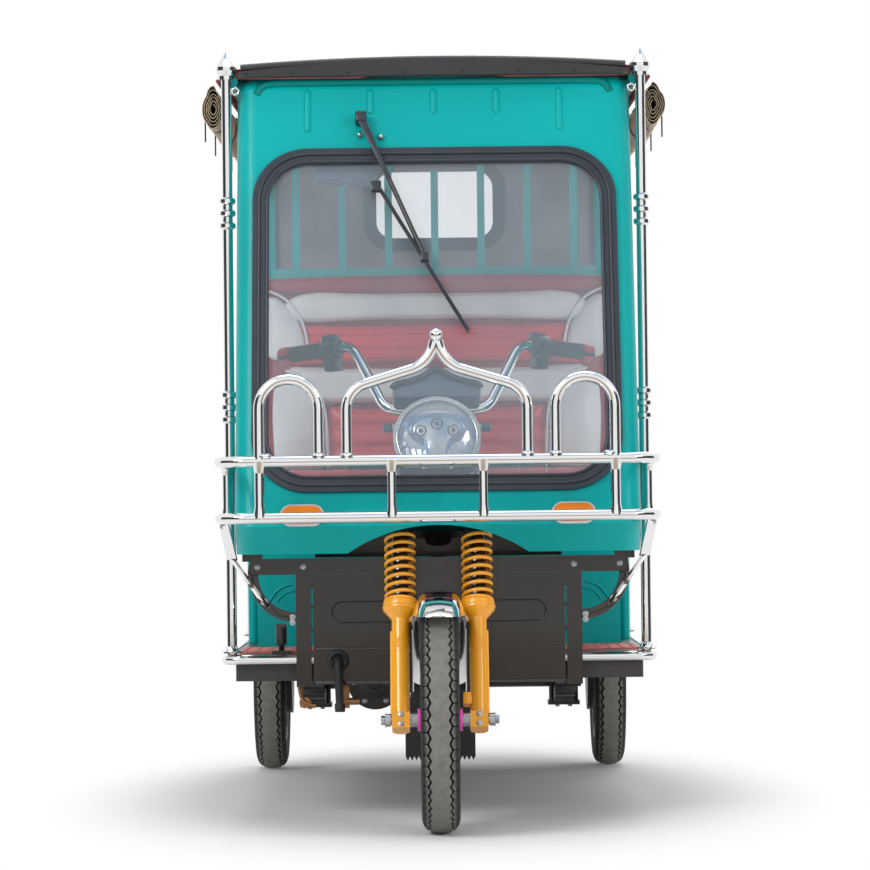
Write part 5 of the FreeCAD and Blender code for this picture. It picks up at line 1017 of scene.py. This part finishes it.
# A dark plate behind the fork's notch: painted shade for the shadowed space behind the leg shield, hiding the teal seat
# box there.
done(block((-0.26, -0.796, 0.555), (0.26, -0.793, 0.66), 0.001), "front_shade_plate",
     frame_black)
front_bolts = (both((0.307, -0.832, 0.42), (0.307, -0.832, 0.431)) + both((0.368, -0.8322, 0.463))
               + both((0.284, -0.8318, 0.537), (0.38, -0.8318, 0.537)))
bolts("front_frame_bolts", [(place, (0, -1, 0)) for place in front_bolts], 0.0042)


# Guard: weld collars, strap bolts; posts: ring lugs; rails: foot flanges

GUARD_Y = -1.1715
foot_places = both(*((x, GUARD_Y, 0.763) for x in (0.238, 0.347, 0.182)))
collars = each([(-0.001, 0.0148), (0.001, 0.015), (0.004, 0.0124), (0.006, 0.0112)], foot_places, "Z", 32)
collars += each([(-0.003, 0.009), (-0.0015, 0.0122), (0.0015, 0.0122), (0.003, 0.009)], [(0, GUARD_Y, 0.9925)], "Z", 32)
done(collars, "guard_weld_collars", chrome, 40)
strap_bolts = [((side * 0.4415, -1.019, 0.624), (side, 0, 0)) for side in (1, -1)]
strap_bolts += [(place, (0, -1, 0)) for place in both((0.366, -0.8375, 0.464))]
bolts("guard_strap_bolts", strap_bolts, 0.005)
lugs = [ring(0.007, 0.0024, place, "Y", 32, 8) for place in both((0.419, -0.7715, 1.543))]
done(lugs, "post_ring_lugs", chrome, 60)
flanges = []
for side in (1, -1):
    for radius, x, y in ((0.023, 0.4512, 0.3785), (0.0215, 0.438, -0.7715)):
        flanges.append(turned([(0.3552, 0.0), (0.3552, radius), (0.3582, radius), (0.36, 0.015), (0.368, 0.0122),
                               (0.37, 0.0108)], (side * x, y, 0), "Z", 32))
done(flanges, "post_foot_flanges", chrome, 40)


# Stuffed seats

SEAM_WIDTH = 0.0075
SEAM_DEPTH = 0.011
RIPPLE = 0.0012


def blow_up(piece, cap, pressure=4.0, frames=14):
    """Swell a closed shape as cloth under pressure; no point moves further than the cap."""
    only(piece)
    cloth = piece.modifiers.new("Cover", "CLOTH")
    cloth.settings.quality = 4
    cloth.settings.use_pressure = True
    cloth.settings.uniform_pressure_force = pressure
    cloth.settings.effector_weights.gravity = 0
    cloth.point_cache.frame_start = 1
    cloth.point_cache.frame_end = frames
    for step in range(1, frames + 1):
        bpy.context.scene.frame_set(step)
    swollen = piece.evaluated_get(bpy.context.evaluated_depsgraph_get()).to_mesh()
    places = [spot.co.copy() for spot in swollen.vertices]
    piece.modifiers.remove(cloth)
    bpy.context.scene.frame_set(1)
    for spot, place in zip(piece.data.vertices, places):
        move = place - spot.co
        if move.length > cap:
            move *= cap / move.length
        spot.co += move


def stuffed(name, outline, front, back, finish, ease, cap, grain=0.007, channels=(), flat_at=None, axis="Y",
            instead=()):
    """A padded panel: an outline in X and Z given depth along Y, eased, swollen and sewn.

    With axis Z the outline is in X and Y, and the depth runs from front (low) to back (high).
    Channels are heights (or, on a seat, distances) where a seam pulls the cover in."""
    upright = axis == "Y"
    deep, along = (1, 2) if upright else (2, 1)
    mesh = bpy.data.meshes.new(name)
    count = len(outline)
    near, far = ([(x, depth, other) if upright else (x, other, depth) for x, other in outline]
                 for depth in (front, back))
    sides = [(i, (i + 1) % count, count + (i + 1) % count, count + i) for i in range(count)]
    mesh.from_pydata(near + far, [], [tuple(range(count))[::-1], tuple(range(count, 2 * count))] + sides)
    piece = bpy.data.objects.new(name, mesh)
    bpy.context.scene.collection.objects.link(piece)
    start_edit(piece)
    outward()
    eased(ease, 3)
    end_edit()
    finished_with(piece, "REMESH", mode="VOXEL", voxel_size=grain, use_smooth_shade=True)
    finished_with(piece, "SMOOTH", factor=0.5, iterations=3)
    rest = [spot.co.copy() for spot in piece.data.vertices]
    blow_up(piece, cap)
    for spot, was in zip(piece.data.vertices, rest):
        pull = max((math.exp(-((was[along] - channel) / SEAM_WIDTH) ** 2) for channel in channels), default=0.0)
        depth = ((was[deep] - front) if upright else (back - was[deep])) / (back - front)
        if depth < 0.6:
            spot.co[deep] += (1 if upright else -1) * SEAM_DEPTH * pull * (1 - depth)
        spot.co[deep] += RIPPLE * noise.noise(was * 22)
        if flat_at is not None:
            spot.co[deep] = (min if upright else max)(spot.co[deep], flat_at)
    finished_with(piece, "SUBSURF", levels=1, render_levels=1)
    done(piece, name, finish, 60, instead)
    return piece


def box_outline(half, low, high, corner):
    return rounded((-half, low), (half, high), corner, 5)


def piping(name, points):
    return done(bent_tube(points, 0.0032, sides=8), name, seat_white, 60)


SEAT_REAR = -0.0425
BASE_TOP = 0.6505


def driver_back():
    """The backrest in its sewn parts: headband, channelled panels, bolsters and wings."""
    stuffed("seat_back_board", box_outline(0.392, 0.748, 1.187, 0.035), -0.078, SEAT_REAR, seat_dark,
            0.008, 0.004, 0.01, flat_at=SEAT_REAR, instead=("driver_backrest",))
    stuffed("seat_back_top_roll", box_outline(0.388, 1.152, 1.186, 0.015), -0.106, -0.06, seat_dark, 0.01, 0.006)
    headband = [(-0.352, 1.083), (0.352, 1.083), (0.362, 1.096), (0.352, 1.126), (0.322, 1.148), (0.27, 1.157),
                (-0.27, 1.157), (-0.322, 1.148), (-0.352, 1.126), (-0.362, 1.096)]
    stuffed("seat_back_headband", headband, -0.106, -0.062, seat_white, 0.01, 0.007)
    stuffed("seat_back_upper_panel", box_outline(0.33, 0.986, 1.082, 0.012), -0.102, -0.062, seat_red,
            0.01, 0.007, channels=(1.018, 1.05))
    stuffed("seat_back_middle_band", box_outline(0.345, 0.893, 0.985, 0.02), -0.106, -0.062, seat_white, 0.01, 0.007)
    stuffed("seat_back_lower_panel", box_outline(0.252, 0.75, 0.892, 0.012), -0.104, -0.062, seat_red,
            0.01, 0.007, channels=(0.797, 0.845))
    bolster = [(0.25, 0.75), (0.372, 0.75), (0.374, 0.93), (0.366, 0.958), (0.345, 0.968), (0.31, 0.962),
               (0.28, 0.94), (0.262, 0.905), (0.252, 0.86)]
    wing = [(0.292, 1.0), (0.386, 1.0), (0.388, 1.15), (0.36, 1.143), (0.33, 1.118), (0.308, 1.082), (0.296, 1.04)]
    lower_edge = ((0.249, 0.752), (0.25, 0.85), (0.259, 0.905), (0.278, 0.945), (0.308, 0.968), (0.345, 0.975))
    upper_edge = ((0.29, 1.002), (0.293, 1.04), (0.304, 1.086), (0.326, 1.124), (0.358, 1.15), (0.384, 1.158))
    for side, hand in HANDS:
        for part, outline, front in (("bolster_", bolster, -0.11), ("wing_", wing, -0.112)):
            stuffed("seat_back_" + part + hand, [(side * x, z) for x, z in outline][::side], front, -0.058,
                    seat_white, 0.014, 0.009)
        for part, edge, out in (("lower_", lower_edge, -0.1085), ("upper_", upper_edge, -0.109)):
            piping("seat_piping_" + part + hand, [(side * x, out, z) for x, z in edge])


driver_back()
for name, first, last, channels, instead in (
        ("driver_seat_pad", -0.4255, -0.048, (-0.33, -0.235, -0.14), ("driver_cushion",)),
        ("front_bench_pad", -0.024, 0.37, (0.075, 0.17, 0.265), ("passenger_cushions",)),
        ("rear_bench_pad", 0.705, 1.2, (0.8, 0.9, 1.0), ())):
    stuffed(name, box_outline(0.39, first, last, 0.045), 0.656, 0.737, seat_red, 0.018, 0.007, 0.01, channels,
            BASE_TOP, "Z", instead)
for name, front, back, flat_at, instead in (("front_bench_back", 0.042, -0.024, None, ("passenger_backrests",)),
                                            ("rear_bench_back", 1.143, 1.202, 1.2085, ())):
    stuffed(name, box_outline(0.39, 0.752, 1.184, 0.045), front, back, seat_red, 0.016, 0.007, 0.01,
            (0.86, 0.97, 1.08), flat_at, "Y", instead)


# Roof canopy, stretched over the bows, and the four rolled side curtains

BOWS = (-0.7475, -0.0365, 0.5785, 1.1955)
ROOF_HALF = 0.456
ROOF_LENGTH = 1.986
SIDE_HEM = 0.045
REAR_HEM = 0.0204


def rail_height(y):
    """The roof rail's height, which climbs gently to the rear."""
    return 1.565 + 0.02999 * (y + 0.7715)


def roof_top(x, y):
    """The canopy's top: an arch from rail to rail, higher at the middle bow."""
    knots = ((BOWS[0], 0.018), (BOWS[1], 0.062), (BOWS[0] + ROOF_LENGTH, 0.042))
    for (y0, h0), (y1, h1) in zip(knots, knots[1:]):
        if y <= y1 or y1 == knots[-1][0]:
            rise = h0 + (h1 - h0) * min(1.0, max(0.0, (y - y0) / (y1 - y0)))
            break
    sag = 0.0
    for start, stop in zip(BOWS, BOWS[1:]):
        if start < y < stop:
            sag = 0.006 * math.sin(math.pi * (y - start) / (stop - start)) ** 2
    share = 1 - (x / ROOF_HALF) ** 2
    return rail_height(y) + 0.0232 + rise * share - sag * share


def canopy():
    """A grid laid over the bows, its side and rear hems turned down, then given the cloth's thickness."""
    across, along = 44, 100
    bpy.ops.mesh.primitive_grid_add(x_subdivisions=across, y_subdivisions=along, size=1, location=(0, 0, 0))
    piece = bpy.context.object
    for spot in piece.data.vertices:
        u = spot.co.x * 2
        v = (spot.co.y + 0.5) * (1 + REAR_HEM)
        x = ROOF_HALF * min(1.0, max(-1.0, u * (1 + SIDE_HEM)))
        y = BOWS[0] + ROOF_LENGTH * min(1.0, v)
        drop = 0.02 * max(0.0, abs(u) * (1 + SIDE_HEM) - 1) / SIDE_HEM
        drop += 0.022 * max(0.0, v - 1) / REAR_HEM
        pull = 0.001 * math.sin(y * 70) * abs(u) ** 6 + 0.0014 * noise.noise(Vector((x * 7, y * 5, 0)))
        flare = 0.0012 * math.sin(y * 31) if drop else 0.0
        spot.co = (x + math.copysign(flare, x), y, roof_top(x, y) - drop + pull)
    finished_with(piece, "SOLIDIFY", thickness=0.004, offset=0)
    finished_with(piece, "SUBSURF", levels=1, render_levels=1)
    return done(piece, "roof_canopy", roof_cloth, 50, ("roof_skin",))


def roof_line(x, rise, first=-0.745, last=1.236, steps=50):
    return [(x, y, roof_top(min(abs(x), ROOF_HALF), y) + rise)
            for y in (first + (last - first) * i / steps for i in range(steps + 1))]


roof = canopy()
hems = joined([bent_tube(roof_line(side * 0.4575, -0.021), 0.0042, sides=8) for side in (1, -1)])
done(hems, "roof_hem_piping", seat_dark, 60)
seams = joined([bent_tube(roof_line(x, 0.0022), 0.0016, sides=6) for x in (-0.23, -0.222, 0.222, 0.23)])
done(seams, "roof_seams", seat_dark, 60)
front_roll = [(x, -0.756, roof_top(x, BOWS[0]) - 0.001) for x in (-0.408 + 0.816 * i / 24 for i in range(25))]
front_hem = done(bent_tube(front_roll, 0.0105, sides=16), "roof_front_piping", band_vinyl, 60)
band_studs = both(*((x, -0.7897, 1.58) for x in (0.06, 0.18, 0.3, 0.395)))
done(each([(0.0, 0.0), (0.0018, 0.0), (0.0014, 0.0026), (0.0, 0.0042)], band_studs, (0, -1, 0), 16), "roof_band_studs",
     black_rubber, 50)

ROLL_TURNS = 5.0
ROLL_STEPS = 120
STRAP_WIDTH = 0.022


def roll_spot(side, y, share, first, last, straps, inset):
    """One spot of a rolled curtain's section: share runs from the loose outer end to the core."""
    pinch = sum(math.exp(-((y - strap) / 0.03) ** 2) for strap in straps)
    end = min(y - first, last - y)
    size = (1 - 0.8 * share) * (1 - 0.13 * pinch) * (1 - 0.05 * math.exp(-end / 0.02))
    angle = 2 * math.pi * ROLL_TURNS * share
    wobble = 1 + 0.05 * math.sin(3 * angle + 6 * y + side) + 0.06 * noise.noise(Vector((y * 9, angle * 0.6, side)))
    wide = 0.0268 * size * min(1.06, wobble) - inset
    tall = 0.05 * size * wobble - inset
    corner = 0.86 + 0.14 * abs(math.cos(2 * angle))
    droop = 0.007 * math.sin(math.pi * (y - first) / (last - first)) ** 2
    return (side * (0.47 + wide * math.sin(angle) * corner), y,
            rail_height(y) - 0.053 - droop + tall * math.cos(angle) * corner)


def rolled(side, first, last, straps, inset, thick):
    """A curtain rolled from its foot: a grid wound round five times and given thickness."""
    rows = int((last - first) / 0.022)
    bpy.ops.mesh.primitive_grid_add(x_subdivisions=ROLL_STEPS, y_subdivisions=rows, size=1, location=(0, 0, 0))
    piece = bpy.context.object
    for spot in piece.data.vertices:
        y = first + (last - first) * (spot.co.y + 0.5)
        spot.co = roll_spot(side, y, spot.co.x + 0.5, first, last, straps, inset)
    finished_with(piece, "SOLIDIFY", thickness=thick, offset=0)
    return piece


def strap(side, y, first, last, straps):
    """A webbing strap round the roll, with its loose end and its wire buckle on the outside."""
    loop = [roll_spot(side, y, i / 32 / ROLL_TURNS, first, last, straps, -0.0022) for i in range(33)]
    loop[-1] = loop[0]
    band = drawn(loop[:-1])
    start_edit(band, "VERT")
    pushed((0, STRAP_WIDTH, 0))
    end_edit()
    x, _, z = loop[8]
    tail = block((x - 0.0012, y + 0.002, z - 0.06), (x + 0.0012, y + 0.02, z - 0.004), 0.0005, 1)
    finished_with(band, "SOLIDIFY", thickness=0.0014, offset=0)
    corners = [(x + side * 0.0018, y + a, z + b) for a, b in
               ((-0.003, -0.01), (0.025, -0.01), (0.025, 0.008), (-0.003, 0.008))]
    return joined([band, tail]), edging(corners, 0.0013)


bands, buckles = [], []
for side, hand in HANDS:
    for first, last, straps, part in ((-0.6915, 0.3545, (-0.56, -0.17, 0.225), "front"),
                                      (0.4025, 1.1895, (0.53, 1.07), "rear")):
        outer = done(rolled(side, first, last, straps, 0.0, 0.0014), "curtain_%s_%s" % (part, hand),
                     curtain_cloth, 60, ("side_curtains",) if hand + part == "leftfront" else ())
        inner = done(rolled(side, first + 0.002, last - 0.002, straps, 0.0017, 0.001),
                     "curtain_lining_%s_%s" % (part, hand), curtain_lining, 60)
        for place in straps:
            band, buckle = strap(side, place - STRAP_WIDTH / 2, first, last, straps)
            bands.append(band)
            buckles.append(buckle)
done(bands, "curtain_straps", strap_web, 40)
done(buckles, "curtain_buckles", bright_steel, 60)


# Body panels: pressed waves, beads, arch lips, rear panel, lamps and seams

WHEEL_Y = 0.9285
WHEEL_Z = 0.2285
MAT_TOP = 0.3546
WALL_FACE = 1.2222


def box_wave(side):
    """The pressed curve at the seat box's front corner."""
    upper = (0.325, 0.492), (0.34, 0.489), (0.356, 0.48), (0.366, 0.466), (0.374, 0.455)
    lower = (0.318, 0.478), (0.336, 0.475), (0.35, 0.465), (0.358, 0.452)
    return joined([bent_tube([(side * x, -0.4222, z) for x, z in line], thick, sides=8)
                   for line, thick in ((upper, 0.0026), (lower, 0.002))])


def side_loop(side, low, high, corner, out):
    """A rounded rectangle on the body's side."""
    return [(side * out, y, z) for y, z in rounded(low, high, corner)]


def off_axle(x, radius, angle):
    """A place round the rear axle."""
    return (x, WHEEL_Y + radius * math.cos(angle), WHEEL_Z + radius * math.sin(angle))


def arc_tube(x, radius, low, high, wire, steps=40):
    """Wire along an arc round the rear axle, from one angle to the other, in degrees."""
    return bent_tube([off_axle(x, radius, math.radians(low + (high - low) * i / steps)) for i in range(steps + 1)],
                     wire, sides=8)


def side_beads(side):
    return joined([edging(side_loop(side, (0.47, 0.56), (1.195, 0.868), 0.04, 0.4443), 0.0026),
                   edging(side_loop(side, (0.5, 0.59), (1.165, 0.838), 0.03, 0.4441), 0.0018),
                   bent_tube([(side * 0.444, 0.442, 0.893), (side * 0.444, 1.216, 0.893)], 0.0042, smooth_line=False)])


done(both_hands(box_wave), "seat_box_waves", teal, 60)
done(both_hands(side_beads), "quarter_panel_beads", teal, 60)
# The wheel arch lips are in the darker teal: painted shade.
done(both_hands(lambda side: arc_tube(side * 0.444, 0.2875, 26, 154, 0.0038)), "wheel_arch_lips",
     teal_painted_shade, 60)
done(both_hands(lambda side: joined([arc_tube(side * 0.4545, 0.263, 32, 166, 0.0026),
                                     arc_tube(side * 0.425, 0.2642, 32, 166, 0.0018)])),
     "mudguard_rolled_edges", chrome, 60)
ribs = []
for first, last in ((-0.69, -0.426), (0.384, 0.698)):
    for rib in range(34):
        x = -0.415 + 0.83 * rib / 33
        ribs.append(bent_tube([(x, first, MAT_TOP), (x, last, MAT_TOP)], 0.0022, smooth_line=False, sides=4))
done(ribs, "mat_ribs", mat_rubber, 40)

rear_panel = block((-0.43, 1.2205, 0.36), (0.43, 1.224, 0.895), 0.0015)
done(rear_panel, "rear_lower_panel", teal, 30)
panel_beads = [edging([(x, 1.2242, z) for x, z in rounded((-half, low), (half, high), 0.03)], 0.0028)
               for low, high, half in ((0.7, 0.86, 0.3), (0.44, 0.53, 0.38))]
panel_beads.append(bent_tube([(-0.43, 1.2236, 0.897), (0.43, 1.2236, 0.897)], 0.005, smooth_line=False))
# The rear panel's beads are in the darker teal: painted shade.
done(panel_beads, "rear_panel_beads", teal_painted_shade, 60)
seam_lines = [((x, WALL_FACE, 0.905), (x, WALL_FACE, 1.33)) for x in (-0.24, -0.232, 0.232, 0.24)]
seam_lines += [((-0.42, WALL_FACE, z), (0.42, WALL_FACE, z)) for z in (1.318, 1.594)]
done([bent_tube(line, 0.002, sides=8) for line in seam_lines], "rear_wall_seams", rear_cloth, 60)
snap_places = both(*((0.426, 1.2218, 0.935 + 0.085 * step) for step in range(8)))
done(each([(0.0, 0.007), (0.0012, 0.0068), (0.003, 0.0046), (0.0036, 0.0)], snap_places, (0, 1, 0), 20),
     "rear_wall_snaps", bright_steel, 50)


def lamp_frame(side):
    corners = [(side * x, 1.249, z) for x, z in ((0.347, 0.562), (0.413, 0.562), (0.413, 0.668), (0.347, 0.668))]
    low_x, high_x = sorted((side * 0.348, side * 0.412))
    bars = [block((low_x, 1.248, z), (high_x, 1.2514, z + 0.003), 0.0006, 1) for z in (0.5945, 0.633)]
    return joined([edging(corners, 0.003)] + bars)


def lamp_part(side, low, high):
    low_x, high_x = sorted((side * 0.35, side * 0.41))
    fins = [block((low_x, 1.2485, low), (high_x, 1.2504, high), 0.001, 1)]
    for fin in range(9):
        x = low_x + 0.004 + 0.0065 * fin
        fins.append(block((x, 1.25, low + 0.002), (x + 0.0022, 1.2512, high - 0.002), 0.0004, 1))
    return joined(fins)


done(both_hands(lamp_frame), "tail_lamp_frames", dark_plastic, 50)
for low, high, name, slot, finish in ((0.637, 0.666, "tail_lamp_amber", "orange_plastic", amber),
                                      (0.599, 0.6325, "tail_lamp_red", "red_lens", lens_red),
                                      (0.564, 0.594, "tail_lamp_clear", "lens", lens_clear)):
    done([lamp_part(side, low, high) for side in (1, -1)], name, finish, 30)


# Running gear: wheel nuts, valves, motor ribs, case bolts, spring clips and linkage

for side, hand in HANDS:
    body = "rear_wheel_" + hand
    bolts("wheel_nuts_" + hand, [(off_axle(side * 0.4295, 0.05, a), (side, 0, 0)) for a in around(4, 0.785)],
          0.0075, body)
    valve = turned([(0.0, 0.0), (0.0, 0.0026), (0.002, 0.003), (0.012, 0.003), (0.013, 0.0045), (0.026, 0.0042),
                    (0.0275, 0.003), (0.0275, 0.0)], (side * 0.43, WHEEL_Y, WHEEL_Z + 0.145), (side * 0.35, 0, -1), 20)
    done(valve, "tyre_valve_" + hand, black_rubber, 40, body=body)

MOTOR_X = -0.16
LEAF_X = 0.315
motor_ribs = []
for rib in range(9):
    foot = 0.668 + 0.016 * rib
    motor_ribs += [(foot, 0.0645), (foot + 0.001, 0.0695), (foot + 0.005, 0.0695), (foot + 0.006, 0.0645)]
done(turned(motor_ribs, (MOTOR_X, 0, WHEEL_Z), "Y", 64), "motor_ribs", frame_black, 25)
cap = [(0.0, 0.0), (0.0, 0.04), (-0.003, 0.04), (-0.006, 0.034), (-0.006, 0.018), (-0.012, 0.014), (-0.012, 0.0)]
done(turned(cap, (MOTOR_X, 0.633, WHEEL_Z), "Y", 48), "motor_end_cap", frame_black, 30)
bolts("motor_cap_bolts", [((MOTOR_X + 0.053 * math.cos(a), 0.633, WHEEL_Z + 0.053 * math.sin(a)), (0, -1, 0))
                          for a in around(6)], 0.0045)
bolts("gear_case_bolts", [(off_axle(MOTOR_X + face * 0.048, 0.057, a), (face, 0, 0))
                          for face in (1, -1) for a in around(8)], 0.0045)
bolts("spring_u_bolt_nuts", [((side * LEAF_X + x, WHEEL_Y + y, 0.1552), (0, 0, -1)) for side in (1, -1)
                             for x in (-0.016, 0.016) for y in (-0.012, 0.012)], 0.006)
clips = [block((x - 0.028, y - 0.009, 0.1945), (x + 0.028, y + 0.009, 0.2235), 0.0025)
         for x, y, _ in both((LEAF_X, 0.75, 0), (LEAF_X, 1.1, 0))]
done(clips, "leaf_spring_clips", frame_black)
linkage = [bent_tube([(-0.295, -0.8, 0.288), (-0.293, -0.8, 0.262), (-0.28, -0.8, 0.245), (-0.262, -0.8, 0.243)],
                     0.005, sides=10),
           turned([(0.0, 0.0), (0.0, 0.012), (0.018, 0.012), (0.02, 0.009), (0.02, 0.0)],
                  (-0.284, -0.8, 0.25), "Y", 28),
           turned([(0.0, 0.0), (0.0, 0.0075), (0.03, 0.0075), (0.03, 0.0)], (-0.2, -0.8, 0.252), "X", 24),
           block((-0.212, -0.805, 0.238), (-0.19, -0.795, 0.292), 0.002)]
done(linkage, "brake_linkage", brown_steel, 40)
flap_studs = each([(0.0, 0.0), (0.0018, 0.0), (0.0014, 0.003), (0.0, 0.005)],
                  [(0.062, -0.8672, 0.268), (0.064, -0.8672, 0.2), (-0.062, -0.8672, 0.268)], (0, -1, 0), 16)
done(flap_studs, "mudflap_studs", bright_steel, 50, body="steering")


# Floor last


def floor_paper():
    """Pale matt floor near the object, giving way to the white backdrop further off."""
    finish = shader("FloorPaper", (0.86, 0.84, 0.82, 1), 0.9)
    away = add(finish, "VectorMath", operation="LENGTH")
    white = add(finish, "Emission")
    mix = add(finish, "MixShader")
    wire(finish, where(finish, scale=(1, 0.42, 1)), away.inputs[0])
    fade = spanned(finish, away.outputs["Value"], 0, 1, 0.48, 0.92, interpolation_type="SMOOTHSTEP")
    wire(finish, fade, mix.inputs[0])
    wire(finish, principled(finish).outputs[0], mix.inputs[1])
    wire(finish, white.outputs[0], mix.inputs[2])
    wire(finish, mix.outputs[0], finish.node_tree.nodes["Material Output"].inputs["Surface"])
    return finish


def reflector(name, place, aim, size, shade):
    """A coloured card that shows only in metal, glass and gloss, with soft edges."""
    bpy.ops.mesh.primitive_plane_add(size=1, location=(0, 0, 0))
    card = bpy.context.object
    card.name = name
    card.scale = (size[0], size[1], 1)
    card.location = place
    card.rotation_euler = (Vector(aim) - Vector(place)).to_track_quat("-Z", "Y").to_euler()
    finish = bpy.data.materials.new(name)
    finish.use_nodes = True
    finish.cycles.emission_sampling = "NONE"
    finish.node_tree.nodes.clear()
    spot = add(finish, "TexCoord")
    split = add(finish, "SeparateXYZ")
    wire(finish, spot.outputs["Object"], split.inputs[0])
    amount = add(finish, "LightPath").outputs["Is Glossy Ray"]
    for axis in ("X", "Y"):
        off = add(finish, "Math", operation="ABSOLUTE")
        both = add(finish, "Math", operation="MULTIPLY")
        wire(finish, split.outputs[axis], off.inputs[0])
        edge = spanned(finish, off.outputs[0], 0, 1, 0.5, 0.36, interpolation_type="SMOOTHSTEP")
        wire(finish, edge, both.inputs[0])
        wire(finish, amount, both.inputs[1])
        amount = both.outputs[0]
    clear = add(finish, "BsdfTransparent")
    paint = add(finish, "Emission", Color=(*shade, 1))
    mix = add(finish, "MixShader")
    out = add(finish, "OutputMaterial")
    wire(finish, amount, mix.inputs[0])
    wire(finish, clear.outputs[0], mix.inputs[1])
    wire(finish, paint.outputs[0], mix.inputs[2])
    wire(finish, mix.outputs[0], out.inputs["Surface"])
    card.data.materials.append(finish)


bpy.ops.mesh.primitive_plane_add(size=60, location=(0, 0, 0))
floor = bpy.context.object
floor.name = "Floor"
floor.data.materials.append(floor_paper())
for side, name in ((1, "SideCardLeft"), (-1, "SideCardRight")):
    reflector(name, (side * 4.2, -2.4, 1.2), (0, -0.6, 1.0), (7.0, 3.4), (0.05, 0.055, 0.06))
reflector("GroundCard", (0, -7.5, 0.01), (0, -7.5, 4), (9, 11), (0.46, 0.35, 0.25))
reflector("SkyCard", (0, -5.0, 9.0), (0, 0, 1.0), (16, 5), (0.36, 0.58, 0.88))
